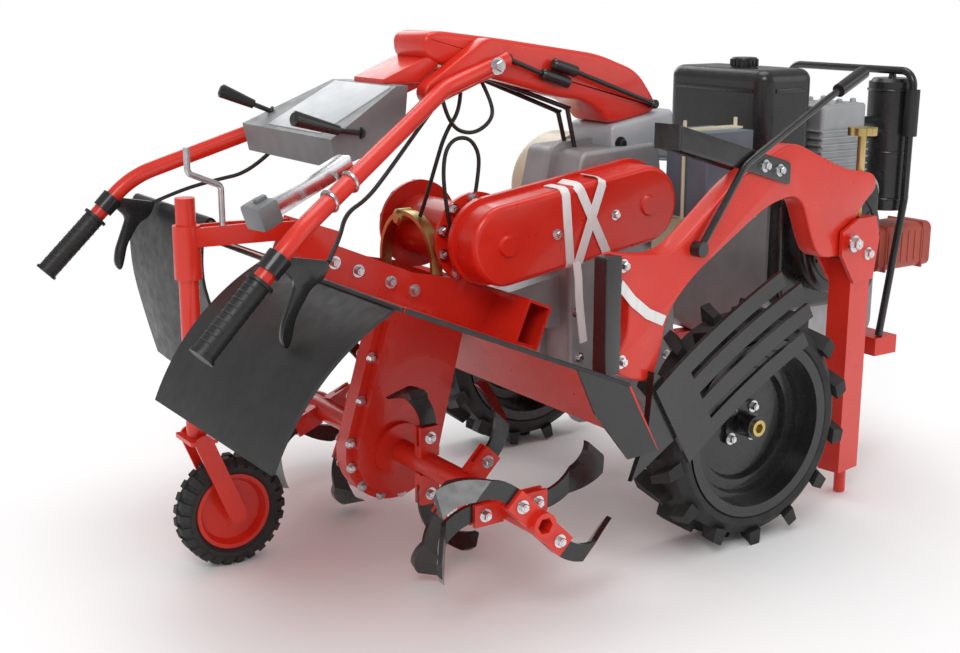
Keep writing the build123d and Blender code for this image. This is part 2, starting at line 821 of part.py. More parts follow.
HANDLE_RUN = (
    TUBE_ROOT,
    TUBE_SHOULDER,
    along(GRIP_START, GRIP_END, -BEND_BACK),
    along(GRIP_START, GRIP_END, 0.9),
)
with BuildPart() as handlebar:
    add(tube(HANDLE_RUN, TUBE_R, (120, 160)))
    for x in (-398, -440):
        with BuildSketch(side(TUBE_ROOT[1] + 2, x, 984 - 0.29 * (-385 - x))):
            Circle(11)
        extrude(amount=TUBE_ROOT[1] + 2 - BEAM_HOOD_HALF)
bar = handlebar.part
keep("handlebar_left", bar)
keep("handlebar_right", mirrored(bar))
with BuildPart() as grip:
    reach = Vector(*GRIP_END) - Vector(*GRIP_START)
    with BuildSketch(Plane(origin=GRIP_START, z_dir=reach)):
        Circle(GRIP_R)
        Circle(TUBE_R + SEAT_GAP, mode=Mode.SUBTRACT)
    extrude(amount=reach.length)
    with BuildSketch(Plane(origin=GRIP_START, z_dir=reach)):
        Circle(GRIP_R + 5)
        Circle(TUBE_R + SEAT_GAP, mode=Mode.SUBTRACT)
    extrude(amount=6)
    with BuildSketch(Plane(origin=GRIP_END, z_dir=reach)):
        Circle(GRIP_R + 3)
    extrude(amount=6)
keep("grip_left", grip.part)
keep("grip_right", mirrored(grip.part))

# Switch box clamped under the right handlebar and hand levers under the grips
bar_run = (Vector(*HANDLE_RUN[2]) - Vector(*HANDLE_RUN[1])).normalized()
bar_at = Vector(*along(HANDLE_RUN[1], HANDLE_RUN[2], 0.56))
with BuildPart() as switch_box:
    with BuildSketch(Plane(origin=bar_at, z_dir=bar_run)):
        Circle(TUBE_R + 5)
    extrude(amount=30)
    with BuildSketch(Plane(origin=bar_at, x_dir=(0, 1, 0), z_dir=bar_run)):
        with Locations((0, 30 if Plane(origin=bar_at, x_dir=(0, 1, 0), z_dir=bar_run).y_dir.Z < 0 else -30)):
            Rectangle(30, 40)
    extrude(amount=52)
    with BuildSketch(Plane(origin=bar_at - bar_run * 20, z_dir=bar_run)):
        Circle(TUBE_R + SEAT_GAP)
    extrude(amount=100, mode=Mode.SUBTRACT)
keep("switch_box", mirrored(switch_box.part))

grip_run = (Vector(*GRIP_END) - Vector(*GRIP_START)).normalized()
grip_under = Vector(-grip_run.Z, 0, grip_run.X).normalized()
lever_at = Vector(*GRIP_START) - grip_run * 40
with BuildPart() as hand_lever:
    with BuildSketch(Plane(origin=lever_at, z_dir=grip_run)):
        Circle(TUBE_R + 6)
    extrude(amount=22)
    add(rod(lever_at + grip_run * 11 + grip_under * 16, lever_at + grip_run * 20 + grip_under * 46, 6))
    add(rod(lever_at + grip_run * 17 + grip_under * 44, lever_at + grip_run * 150 + grip_under * 54, 5))
    with BuildSketch(Plane(origin=lever_at - grip_run * 10, z_dir=grip_run)):
        Circle(TUBE_R + SEAT_GAP)
    extrude(amount=60, mode=Mode.SUBTRACT)
keep("clutch_lever_left", hand_lever.part)
keep("clutch_lever_right", mirrored(hand_lever.part))

# Plated depth sector that straddles the frame's cross bar
SECTOR_T = 8
SECTOR = ((-612, -34), (-588, -34), (-560, 20), (-570, 96), (-600, 124), (-632, 96), (-640, 20))
sector_base = SECTOR_PIN[1]
with BuildPart() as sector:
    with BuildSketch(side(SECTOR_T / 2 - 40)):
        with BuildLine():
            Polyline(*[(x, sector_base + z) for x, z in SECTOR], close=True)
        make_face()
        with Locations(SECTOR_PIN):
            Circle(SECTOR_PIN_R + SEAT_GAP, mode=Mode.SUBTRACT)
    extrude(amount=SECTOR_T)
keep("depth_sector", sector.part)

# Engine on its rails
with BuildPart() as rails:
    for sign in (-1, 1):
        with BuildSketch(front(RAIL_X[0])):
            with Locations((sign * RAIL_HALF, RAIL_Z - RAIL_H / 2)):
                Rectangle(40, RAIL_H)
        extrude(amount=RAIL_X[1] - RAIL_X[0])
    for x, half in ((RAIL_X[0], RAIL_HALF), (RAIL_X[1] - 76, GUARD_HALF + 14)):
        with BuildSketch(front(x)):
            with Locations((0, RAIL_Z - RAIL_H / 2)):
                Rectangle(2 * half, RAIL_H)
        extrude(amount=76)
keep("engine_rails", rails.part)

with BuildPart() as engine:
    with BuildSketch(side(ENGINE_HALF)):
        with Locations((sum(ENGINE_X) / 2, (RAIL_Z + ENGINE_TOP) / 2)):
            RectangleRounded(ENGINE_X[1] - ENGINE_X[0], ENGINE_TOP - RAIL_Z, 40)
    extrude(amount=2 * ENGINE_HALF)
keep("engine_block", engine.part)

with BuildPart() as shroud:
    with BuildSketch(side(-ENGINE_HALF)):
        with Locations((CRANK[0] + 14, CRANK[1] - 22)):
            RectangleRounded(330, 300, 60)
    extrude(amount=SHROUD_T)
    fillet(shroud.faces().sort_by(Axis.Y)[0].edges(), 14)
keep("engine_shroud", shroud.part)

with BuildPart() as recoil:
    with BuildSketch(side(-ENGINE_HALF - SHROUD_T)):
        with Locations(CRANK):
            Circle(RECOIL_R)
    extrude(amount=50)
    fillet(recoil.faces().sort_by(Axis.Y)[0].edges(), 18)
keep("recoil_starter", recoil.part)

HEAD_X = (452, 600)
HEAD_Y = (-160, -30)
HEAD_TOP = 862
with BuildPart() as head:
    with BuildSketch(Plane.XY.offset(ENGINE_TOP)):
        with Locations((sum(HEAD_X) / 2, sum(HEAD_Y) / 2)):
            RectangleRounded(HEAD_X[1] - HEAD_X[0], HEAD_Y[1] - HEAD_Y[0], 10)
    extrude(amount=HEAD_TOP - ENGINE_TOP)
    fillet(head.faces().sort_by(Axis.Z)[-1].edges(), 8)
keep("cylinder_head", head.part)

MUFFLER = ((655.3, 842), (-178, -70), (452, 562))
with BuildPart() as muffler:
    with BuildSketch(front(MUFFLER[0][0])):
        with Locations((sum(MUFFLER[1]) / 2, sum(MUFFLER[2]) / 2)):
            RectangleRounded(MUFFLER[1][1] - MUFFLER[1][0], MUFFLER[2][1] - MUFFLER[2][0], 18)
    extrude(amount=MUFFLER[0][1] - MUFFLER[0][0])
keep("muffler", muffler.part)

with BuildPart() as tank:
    with BuildSketch(Plane.XY.offset(TANK_Z[0])):
        with Locations((sum(TANK_X) / 2, 0)):
            RectangleRounded(TANK_X[1] - TANK_X[0], 2 * TANK_HALF, 34)
    extrude(amount=TANK_Z[1] - TANK_Z[0])
    fillet(tank.faces().sort_by(Axis.Z)[-1].edges(), 26)
keep("fuel_tank", tank.part)

CAP_AT = (335, -20)
with BuildPart() as cap:
    with BuildSketch(Plane.XY.offset(TANK_Z[1])):
        with Locations(CAP_AT):
            Circle(30)
    extrude(amount=22)
    fillet(cap.faces().sort_by(Axis.Z)[-1].edges(), 5)
keep("fuel_cap", cap.part)

with BuildPart() as cleaner:
    with BuildSketch(Plane.XY.offset(CLEANER_Z[0])):
        with Locations(CLEANER_AT):
            Circle(CLEANER_R)
    extrude(amount=CLEANER_Z[1] - CLEANER_Z[0])
    with BuildSketch(front(HEAD_X[1] + SEAT_GAP)):
        with Locations((CLEANER_AT[1], 800)):
            Circle(26)
    extrude(amount=CLEANER_AT[0] - HEAD_X[1] - SEAT_GAP)
keep("air_cleaner", cleaner.part)

with BuildPart() as battery:
    with BuildSketch(Plane.XY.offset(BATTERY_Z[0])):
        with Locations((sum(BATTERY_X) / 2, sum(BATTERY_Y) / 2)):
            RectangleRounded(BATTERY_X[1] - BATTERY_X[0], BATTERY_Y[1] - BATTERY_Y[0], 6)
    extrude(amount=BATTERY_Z[1] - BATTERY_Z[0])
keep("battery", battery.part)

with BuildPart() as tray:
    with BuildSketch(front(BATTERY_X[0] - 14)):
        with BuildLine():
            Polyline(
                (-BOX_HALF - BOX_FLANGE, BATTERY_Z[0] - 80),
                (-BOX_HALF - BOX_FLANGE, BATTERY_Z[0]),
                (BATTERY_Y[0] - 3, BATTERY_Z[0]),
                (BATTERY_Y[0] - 3, BATTERY_Z[0] - 4),
                (-BOX_HALF - BOX_FLANGE - 4, BATTERY_Z[0] - 4),
                (-BOX_HALF - BOX_FLANGE - 4, BATTERY_Z[0] - 80),
                close=True,
            )
        make_face()
    extrude(amount=BATTERY_X[1] - BATTERY_X[0] + 28)
    with BuildSketch(side(-BOX_HALF)):
        with Locations((BATTERY_X[0] + 30, BATTERY_Z[0] - 40)):
            Circle(12)
    extrude(amount=BOX_FLANGE)
keep("battery_tray", tray.part)

clamp_y = sum(BATTERY_Y) / 2
clamp_len = BATTERY_X[1] - BATTERY_X[0] + 26
with BuildPart() as clamp:
    with BuildSketch(Plane.XY.offset(BATTERY_Z[1])):
        with Locations((sum(BATTERY_X) / 2, clamp_y)):
            Rectangle(clamp_len, 34)
    extrude(amount=4)
    with BuildSketch(Plane.XY.offset(BATTERY_Z[0])):
        with Locations((BATTERY_X[0] - 7, clamp_y), (BATTERY_X[1] + 7, clamp_y)):
            Circle(4)
    extrude(amount=BATTERY_Z[1] - BATTERY_Z[0] + 22)
keep("battery_clamp", clamp.part)

# Front guard hoop on the rails' wide foot, with a rubber sleeve on its right corner
GUARD_RUN = (
    (650, -GUARD_HALF, RAIL_Z + 1.9),
    (708, -GUARD_HALF, 629),
    (712, -GUARD_HALF, GUARD_TOP),
)
hoop = GUARD_RUN + tuple(left_of(p) for p in reversed(GUARD_RUN))
keep("front_guard", tube(hoop, GUARD_BAR_R, 36))
sleeve_run = [along(GUARD_RUN[1], GUARD_RUN[2], share) for share in (0.5, 0.86)]
with BuildPart() as sleeve:
    with BuildSketch(Plane(origin=sleeve_run[0], z_dir=Vector(*sleeve_run[1]) - Vector(*sleeve_run[0]))):
        Circle(GUARD_BAR_R + 8)
        Circle(GUARD_BAR_R + SEAT_GAP, mode=Mode.SUBTRACT)
    extrude(amount=(Vector(*sleeve_run[1]) - Vector(*sleeve_run[0])).length)
keep("guard_sleeve", sleeve.part)

# Plough, modelled over its own upright plane and then turned to its lashed place
PLOUGH_TURN = 9.6
plough_home = (
    Location((PIVOT[0], PLOUGH_Y, 0)) * Location((0, 0, 0), (0, 0, PLOUGH_TURN)) * Location((-PIVOT[0], 0, 0))
)
PIVOT_R = 12
SCREW_X = 386
SCREW_R = 9
SCREW_TOP = 826
POST_EAR_TOP = 640
EAR_T = 8
POST_EAR = ((332, 500), (408, 500), (426, 590), (408, 640), (336, 640), (278, 618), (278, 568))
post_mid = sum(POST_X) / 2
with BuildPart() as post:
    with BuildSketch(Plane.XY.offset(POST_Z[0])):
        with Locations((post_mid, 0)):
            Rectangle(POST_X[1] - POST_X[0], 2 * POST_HALF)
            Rectangle(POST_X[1] - POST_X[0] - 12, 2 * POST_HALF - 12, mode=Mode.SUBTRACT)
    extrude(amount=POST_Z[1] - POST_Z[0])
    for sign in (-1, 1):
        with BuildSketch(side(sign * (POST_HALF + EAR_T / 2) + EAR_T / 2)):
            with BuildLine():
                Polyline(*POST_EAR, close=True)
            make_face()
        extrude(amount=EAR_T)
    with BuildSketch(side(POST_HALF + EAR_T + 10, *PIVOT)):
        Circle(PIVOT_R)
    extrude(amount=2 * (POST_HALF + EAR_T + 10))
    with BuildSketch(side(POST_HALF)):
        with Locations((SCREW_X, POST_EAR_TOP - 18)):
            Rectangle(34, 36)
    extrude(amount=2 * POST_HALF)
    with BuildSketch(Plane.XY.offset(POST_Z[0])):
        with Locations((post_mid, 0)):
            Rectangle(POST_X[1] - POST_X[0], 2 * POST_HALF)
    extrude(amount=8)
    with BuildSketch(Plane.XY.offset(3)):
        with Locations((post_mid + 14, 0)):
            Circle(13)
    extrude(amount=POST_Z[0] - 3)
keep("plough_post", post.part.moved(plough_home))

PLOUGH_BEAM = (
    (340, 600), (350, 672), (420, 706), (420, 752), (352, 762), (300, 780), (215, 796), (130, 790), (-150, 735), (-215, 690), (-265, 600),
    (-345, 420), (-290, 396), (-215, 560), (-165, 650), (-120, 672), (120, 722), (190, 730), (250, 700),
    (282, 640), (268, 590), (300, 556),
)
with BuildPart() as gooseneck:
    with BuildSketch(side(BEAM_T / 2)):
        with BuildLine():
            Polyline(*PLOUGH_BEAM, close=True)
        make_face()
        with Locations(PIVOT):
            Circle(PIVOT_R + SEAT_GAP, mode=Mode.SUBTRACT)
    extrude(amount=BEAM_T)
    with BuildSketch(Plane.XY.offset(POST_EAR_TOP)):
        with Locations((SCREW_X, 0)):
            Circle(SCREW_R + SEAT_GAP)
    extrude(amount=200, mode=Mode.SUBTRACT)
keep("plough_beam", gooseneck.part.moved(plough_home))

KNOB_LOBES = 6
with BuildPart() as screw:
    with BuildSketch(Plane.XY.offset(POST_EAR_TOP)):
        with Locations((SCREW_X, 0)):
            Circle(SCREW_R)
    extrude(amount=SCREW_TOP - POST_EAR_TOP)
    with BuildSketch(Plane.XY.offset(SCREW_TOP - 12)):
        with Locations((SCREW_X, 0)):
            Circle(32)
            with PolarLocations(38, KNOB_LOBES):
                Circle(11, mode=Mode.SUBTRACT)
    extrude(amount=16)
keep("depth_screw", screw.part.moved(plough_home))

lever_y = -BEAM_T / 2 - 13
LEVER_RUN = ((-215, 645), (-85, 792), (190, 905), (262, 932))
with BuildPart() as lever:
    add(tube([(x, lever_y, z) for x, z in LEVER_RUN], 7, (60, 120)))
    with BuildSketch(side(-BEAM_T / 2, LEVER_RUN[0][0], LEVER_RUN[0][1])):
        Circle(15)
    extrude(amount=22)
    grip_dir = Vector(72, 0, 27).normalized()
    with BuildSketch(Plane(origin=(225, lever_y, 918.1), z_dir=grip_dir)):
        Circle(14)
    extrude(amount=96)
keep("plough_lever", lever.part.moved(plough_home))

SLAT_ANGLE = 33
SLAT_W = 36
SLAT_T = 8
SLAT_START = (-236, -36, 330)
SLAT_ROWS = ((-66, 300), (-12, 330), (42, 330), (96, 300))  # offset across the slats and length
slat_dir = Vector(cos(radians(SLAT_ANGLE)), 0, sin(radians(SLAT_ANGLE)))
slat_across = Vector(-sin(radians(SLAT_ANGLE)), 0, cos(radians(SLAT_ANGLE)))
slat_plane = Plane(origin=Vector(*SLAT_START) - slat_across * 150, x_dir=slat_dir, z_dir=slat_across)
SLAT_CURVE = ((-60, -2), (150, -24), (360, -82))
with BuildPart() as slats:
    with BuildSketch(slat_plane):
        with BuildLine():
            outer = ThreePointArc(*SLAT_CURVE)
            inner = ThreePointArc(*[(u, v - SLAT_T) for u, v in SLAT_CURVE])
            Line(outer @ 0, inner @ 0)
            Line(outer @ 1, inner @ 1)
        make_face()
    extrude(amount=330)
    with BuildSketch(Plane(origin=(SLAT_START[0], 300, SLAT_START[2]), x_dir=slat_dir, z_dir=(0, -1, 0))):
        for across, length in SLAT_ROWS:
            with Locations((length / 2, across)):
                Rectangle(length, SLAT_W)
        with Locations((-10, 15)):
            Rectangle(90, 198)
    extrude(amount=900, mode=Mode.INTERSECT)
keep("mouldboard_slats", slats.part.moved(plough_home))

SHARE = ((-342, 430), (-296, 404), (-246, 420), (-244, 330), (-262, 290), (-392, 226), (-352, 310))
with BuildPart() as share:
    with BuildSketch(side(-BEAM_T / 2)):
        with BuildLine():
            Polyline(*SHARE, close=True)
        make_face()
    extrude(amount=40)
    with BuildSketch(slat_plane):
        with BuildLine():
            edge = ThreePointArc(*[(u, v + SEAT_GAP) for u, v in SLAT_CURVE])
            Polyline(edge @ 1, (360, 200), (-260, 200), (-260, 8), edge @ 0)
        make_face()
    extrude(amount=330, mode=Mode.INTERSECT)
keep("plough_share", share.part.moved(plough_home))

# Lashing strap round the plough's beam and the drive cover
STRAP_X = (-62, -40)
STRAP_T = 2
STRAP_LOOP = ((-438, 680), (-438, 756.6), (-145.7, 758.6), (-145.7, 621.6), (-224.3, 621.6))
with BuildPart() as strap:
    with BuildSketch(front(STRAP_X[0])) as loop:
        with BuildLine():
            Polyline(*STRAP_LOOP, close=True)
        make_face()
        offset(amount=STRAP_T)
        with BuildLine():
            Polyline(*STRAP_LOOP, close=True)
        make_face(mode=Mode.SUBTRACT)
    extrude(amount=STRAP_X[1] - STRAP_X[0])
keep("lashing_strap", strap.part)

# Writing the pieces, shifted so that the origin is the middle of the footprint
boxes = [piece.bounding_box() for piece in pieces.values()]
low = [min(getattr(b.min, k) for b in boxes) for k in "XYZ"]
high = [max(getattr(b.max, k) for b in boxes) for k in "XYZ"]
home = Location((-(low[0] + high[0]) / 2, -(low[1] + high[1]) / 2, -low[2]))
print("home", home.position, "size", [round(h - l, 1) for l, h in zip(low, high)])
os.makedirs("parts", exist_ok=True)
for label, piece in pieces.items():
    export_step(piece.moved(home), f"parts/{label}.step")
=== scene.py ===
"""Looks of the walk-behind power tiller: materials, hardware and studio around the CAD frame.

Places given as x, y and z are in millimetres from the ground under the middle of the axle: x forward, y to
the operator's left, z up. at() turns them into the frame's metres. Radii and block sizes are in metres, and
outlines and slabs in millimetres.
"""

import json
import math

import bmesh
import bpy
from mathutils import Matrix, Vector


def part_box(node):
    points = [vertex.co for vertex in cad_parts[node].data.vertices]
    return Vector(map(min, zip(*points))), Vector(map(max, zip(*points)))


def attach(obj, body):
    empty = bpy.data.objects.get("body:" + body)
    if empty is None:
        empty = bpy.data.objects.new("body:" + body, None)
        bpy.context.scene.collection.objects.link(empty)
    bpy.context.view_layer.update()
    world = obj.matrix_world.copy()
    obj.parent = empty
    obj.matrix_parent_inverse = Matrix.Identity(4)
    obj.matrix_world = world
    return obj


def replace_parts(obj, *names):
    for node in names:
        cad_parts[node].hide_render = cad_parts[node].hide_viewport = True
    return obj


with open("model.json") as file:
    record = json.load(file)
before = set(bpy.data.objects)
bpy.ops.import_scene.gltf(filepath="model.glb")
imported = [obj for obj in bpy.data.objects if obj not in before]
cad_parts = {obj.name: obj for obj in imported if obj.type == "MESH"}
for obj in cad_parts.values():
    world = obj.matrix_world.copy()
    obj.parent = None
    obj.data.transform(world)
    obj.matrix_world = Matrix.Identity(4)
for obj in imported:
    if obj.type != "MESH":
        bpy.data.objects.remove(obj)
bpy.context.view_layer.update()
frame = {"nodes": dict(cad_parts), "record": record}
nodes = frame["nodes"]

tyre_low, tyre_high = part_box("tyre_right")
AXLE_X = (tyre_low[0] + tyre_high[0]) / 2
AXLE_Z = 250
RIGHT, LEFT, UP = (0, -1, 0), (0, 1, 0), (0, 0, 1)
SIDES = ((-1, RIGHT), (1, LEFT))


def at(x, y, z):
    """A place given in millimetres from the ground under the middle of the axle."""
    return Vector((AXLE_X + x / 1000, y / 1000, z / 1000))


# Materials
PATCH_SCALE = 9.0  # of the noise that tints a finish
WEAR_SCALE = PATCH_SCALE * 4.3  # of the noise that varies its roughness
COAT_ROUGH = 0.08
BUMP_DEPTH = 0.001


def new_material(name):
    mat = bpy.data.materials.new(name)
    mat.use_nodes = True
    tree = mat.node_tree
    tree.nodes.clear()
    out = tree.nodes.new("ShaderNodeOutputMaterial")
    bsdf = tree.nodes.new("ShaderNodeBsdfPrincipled")
    tree.links.new(bsdf.outputs["BSDF"], out.inputs["Surface"])
    return mat, tree, bsdf


def noise_node(tree, scale, detail=4.0, rough=0.55, stretch=None):
    """Noise in the object's own space, stretched along its axes where asked."""
    coord = tree.nodes.new("ShaderNodeTexCoord")
    noise = tree.nodes.new("ShaderNodeTexNoise")
    noise.inputs["Scale"].default_value = scale
    noise.inputs["Detail"].default_value = detail
    noise.inputs["Roughness"].default_value = rough
    if stretch:
        mapping = tree.nodes.new("ShaderNodeMapping")
        mapping.inputs["Scale"].default_value = stretch
        tree.links.new(coord.outputs["Object"], mapping.inputs["Vector"])
        tree.links.new(mapping.outputs["Vector"], noise.inputs["Vector"])
    else:
        tree.links.new(coord.outputs["Object"], noise.inputs["Vector"])
    return noise


def ramp_node(tree, source, low, high, start=0.3, end=0.7):
    """Colours from low to high as the source goes from start to end."""
    ramp = tree.nodes.new("ShaderNodeValToRGB")
    ramp.color_ramp.elements[0].position = start
    ramp.color_ramp.elements[1].position = end
    ramp.color_ramp.elements[0].color = (*low, 1.0)
    ramp.color_ramp.elements[1].color = (*high, 1.0)
    tree.links.new(source, ramp.inputs["Fac"])
    return ramp.outputs["Color"]


def surface(name, low, high, metallic, rough, bump, bump_scale, coat, stretch):
    """A finish whose colour and roughness wander between two values, over a fine bump."""
    mat, tree, bsdf = new_material(name)
    patch = noise_node(tree, PATCH_SCALE, stretch=stretch)
    tree.links.new(ramp_node(tree, patch.outputs["Fac"], low, high), bsdf.inputs["Base Color"])
    wear = noise_node(tree, WEAR_SCALE, detail=6.0)
    smoothest, roughest = ((r,) * 3 for r in rough)
    tree.links.new(ramp_node(tree, wear.outputs["Fac"], smoothest, roughest), bsdf.inputs["Roughness"])
    bsdf.inputs["Metallic"].default_value = metallic
    bsdf.inputs["Coat Weight"].default_value = coat
    bsdf.inputs["Coat Roughness"].default_value = COAT_ROUGH
    grain = noise_node(tree, bump_scale, detail=3.0)
    node = tree.nodes.new("ShaderNodeBump")
    node.inputs["Strength"].default_value = bump
    node.inputs["Distance"].default_value = BUMP_DEPTH
    tree.links.new(grain.outputs["Fac"], node.inputs["Height"])
    tree.links.new(node.outputs["Normal"], bsdf.inputs["Normal"])
    return mat


BLACK = ((0.010, 0.010, 0.011), (0.017, 0.017, 0.018))
FINISHES = (  # name, two colours, metallic, two roughnesses, bump and its scale, clear coat, stretch
    ("red_paint", (0.62, 0.018, 0.007), (0.70, 0.026, 0.010), 0.0, (0.26, 0.40), 0.05, 260, 0.25, None),
    ("black_paint", *BLACK, 0.0, (0.18, 0.34), 0.06, 240, 0.3, None),
    ("cream_paint", (0.60, 0.54, 0.38), (0.68, 0.62, 0.46), 0.0, (0.28, 0.42), 0.05, 260, 0.2, None),
    ("oxide_paint", (0.30, 0.045, 0.030), (0.40, 0.065, 0.040), 0.0, (0.42, 0.6), 0.12, 300, 0.0, None),
    ("casting", (0.34, 0.35, 0.36), (0.48, 0.49, 0.50), 0.55, (0.42, 0.62), 0.5, 520, 0.0, None),
    ("grey_sheet", (0.44, 0.46, 0.48), (0.52, 0.54, 0.56), 0.2, (0.30, 0.45), 0.15, 420, 0.0, None),
    ("steel", (0.52, 0.52, 0.53), (0.66, 0.66, 0.67), 1.0, (0.22, 0.40), 0.12, 300, 0.0, (1, 1, 8)),
    ("zinc", (0.50, 0.37, 0.13), (0.70, 0.56, 0.25), 1.0, (0.26, 0.44), 0.15, 300, 0.0, None),
    ("tyre_rubber", (0.012,) * 3, (0.024,) * 3, 0.0, (0.55, 0.75), 0.35, 500, 0.0, None),
    ("rubber", (0.012,) * 3, (0.021,) * 3, 0.0, (0.34, 0.52), 0.25, 420, 0.0, None),
    ("grey_plastic", (0.15, 0.155, 0.16), (0.20, 0.205, 0.21), 0.1, (0.34, 0.48), 0.25, 700, 0.0, None),
    ("black_plastic", *BLACK, 0.0, (0.22, 0.36), 0.1, 500, 0.2, None),
    ("battery_case", (0.10, 0.13, 0.17), (0.14, 0.17, 0.21), 0.0, (0.32, 0.46), 0.1, 500, 0.0, None),
    ("webbing", (0.74,) * 3, (0.84,) * 3, 0.0, (0.6, 0.8), 0.4, 900, 0.0, (30, 1, 1)),
    ("bright_zinc", (0.62, 0.62, 0.64), (0.80, 0.80, 0.82), 1.0, (0.16, 0.32), 0.1, 500, 0.0, None),
)
MATS = {row[0]: surface(*row) for row in FINISHES}
REPAINTED = {"hood": "red_paint"}
for part in frame["record"]["subparts"]:
    name = part["node"]
    nodes[name].data.materials.clear()
    nodes[name].data.materials.append(MATS[REPAINTED.get(name, part["material_slot"])])


# Ways to make and place a piece
def place(mesh_maker, name, slot, body, smooth_deg=35):
    """Puts the mesh that mesh_maker(bm) fills into the scene, on a body, with a finish."""
    bm = bmesh.new()
    mesh_maker(bm)
    bmesh.ops.recalc_face_normals(bm, faces=bm.faces)
    mesh = bpy.data.meshes.new(name)
    bm.to_mesh(mesh)
    bm.free()
    mesh.materials.append(MATS[slot])
    mesh.set_sharp_from_angle(angle=math.radians(smooth_deg))
    mesh.polygons.foreach_set("use_smooth", [True] * len(mesh.polygons))
    obj = bpy.data.objects.new(name, mesh)
    bpy.context.scene.collection.objects.link(obj)
    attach(obj, body)
    return obj


def stand(centre, axis):
    """Matrix that stands a shape made along +Z on centre, along axis."""
    turn = Vector(axis).normalized().to_track_quat("Z", "Y").to_matrix().to_4x4()
    return Matrix.Translation(centre) @ turn


def disc(bm, matrix, low, high, r_low, r_high, sides):
    """A round or many-sided slab from low to high along the matrix's z."""
    mid = matrix @ Matrix.Translation((0, 0, (low + high) / 2))
    bmesh.ops.create_cone(
        bm, cap_ends=True, segments=sides, radius1=r_low, radius2=r_high, depth=high - low, matrix=mid
    )


def block(bm, centre, size, turn=None, bevel=0.0):
    """A block with softened edges."""
    turned = turn.to_4x4() if turn else Matrix()
    matrix = Matrix.Translation(centre) @ turned @ Matrix.Diagonal((*size, 1))
    made = bmesh.ops.create_cube(bm, size=1.0, matrix=matrix)
    if bevel:
        edges = list({e for v in made["verts"] for e in v.link_edges})
        bmesh.ops.bevel(bm, geom=edges, offset=bevel, segments=2, affect="EDGES", profile=0.6)


def around(count):
    """That many angles, evenly round a circle."""
    return [2 * math.pi * k / count for k in range(count)]


def ring(bm, matrix, radius, thick, sides=40, rim=8):
    """A ring of round section about the matrix's z."""
    rows = []
    for a in around(sides):
        row = []
        for b in around(rim):
            r = radius + thick * math.cos(b)
            spot = Vector((r * math.cos(a), r * math.sin(a), thick * math.sin(b)))
            row.append(bm.verts.new(matrix @ spot))
        rows.append(row)
    for i in range(sides):
        near, far = rows[i], rows[(i + 1) % sides]
        for j in range(rim):
            bm.faces.new((near[j], far[j], far[(j + 1) % rim], near[(j + 1) % rim]))


def rod(bm, start, end, radius, sides=16):
    """A plain round bar with chamfered ends."""
    run = end - start
    matrix = stand(start, run)
    chamfer = min(radius * 0.3, run.length / 4)
    disc(bm, matrix, 0, chamfer, radius - chamfer, radius, sides)
    disc(bm, matrix, chamfer, run.length - chamfer, radius, radius, sides)
    disc(bm, matrix, run.length - chamfer, run.length, radius, radius - chamfer, sides)


def bolt(bm, centre, axis, flats):
    """A washer, a chamfered hexagon head and a stub of thread, of that width across flats."""
    matrix = stand(centre, axis)
    corner = flats / math.sqrt(3)
    washer = flats * 0.15
    head = flats * 0.62
    chamfer = washer + head * 0.75
    top = washer + head
    disc(bm, matrix, 0, washer, flats * 0.86, flats * 0.84, 20)
    disc(bm, matrix, washer, chamfer, corner, corner, 6)
    disc(bm, matrix, chamfer, top, corner, corner * 0.84, 6)
    disc(bm, matrix, top, washer + head * 1.12, flats * 0.3, flats * 0.27, 12)


def rounded(points, radius, steps=6):
    """An outline with each corner rounded off by up to that radius."""
    out = []
    for k, here in enumerate(points):
        here = Vector(here)
        before, after = Vector(points[k - 1]), Vector(points[(k + 1) % len(points)])
        start = here + (before - here).normalized() * min(radius, (before - here).length * 0.48)
        end = here + (after - here).normalized() * min(radius, (after - here).length * 0.48)
        for i in range(steps + 1):
            t = i / steps
            out.append(start * (1 - t) ** 2 + here * 2 * t * (1 - t) + end * t**2)
    return out


def link(a, r_a, b, r_b, steps=10):
    """Outline of a plate with a round end of its own radius at a and at b."""
    run = Vector(b) - Vector(a)
    base = math.atan2(run.y, run.x)
    lean = math.acos((r_a - r_b) / run.length)
    out = []
    for centre, radius, first, last in (
        (a, r_a, base + lean, base + 2 * math.pi - lean),
        (b, r_b, base - lean, base + lean),
    ):
        for i in range(steps + 1):
            angle = first + (last - first) * i / steps
            out.append(Vector(centre) + radius * Vector((math.cos(angle), math.sin(angle))))
    return out


def inset(outline, amount):
    """The outline drawn in by that amount."""
    area = sum(a[0] * b[1] - b[0] * a[1] for a, b in zip(outline, [*outline[1:], outline[0]]))
    way = amount if area > 0 else -amount
    out = []
    for k, here in enumerate(outline):
        run = (Vector(outline[(k + 1) % len(outline)]) - Vector(outline[k - 1])).normalized()
        out.append(Vector(here) + way * Vector((-run.y, run.x)))
    return out


def slab(bm, outline, y_low, y_high, rim, where=at):
    """A plate of that outline in x and z between two y, with rims rounded by that radius."""
    layers = []
    for end, way in ((y_low, 1), (y_high, -1)):
        for turn in (0, 22.5, 45, 67.5, 90)[::way]:
            a = math.radians(turn)
            y = end + way * rim * (1 - math.cos(a))
            drawn = inset(outline, rim * (1 - math.sin(a)))
            layers.append([bm.verts.new(where(q[0], y, q[1])) for q in drawn])
    count = len(outline)
    for near, far in zip(layers, layers[1:]):
        for k in range(count):
            bm.faces.new((near[k], near[(k + 1) % count], far[(k + 1) % count], far[k]))
    bm.faces.new(layers[0])
    bm.faces.new(layers[-1])


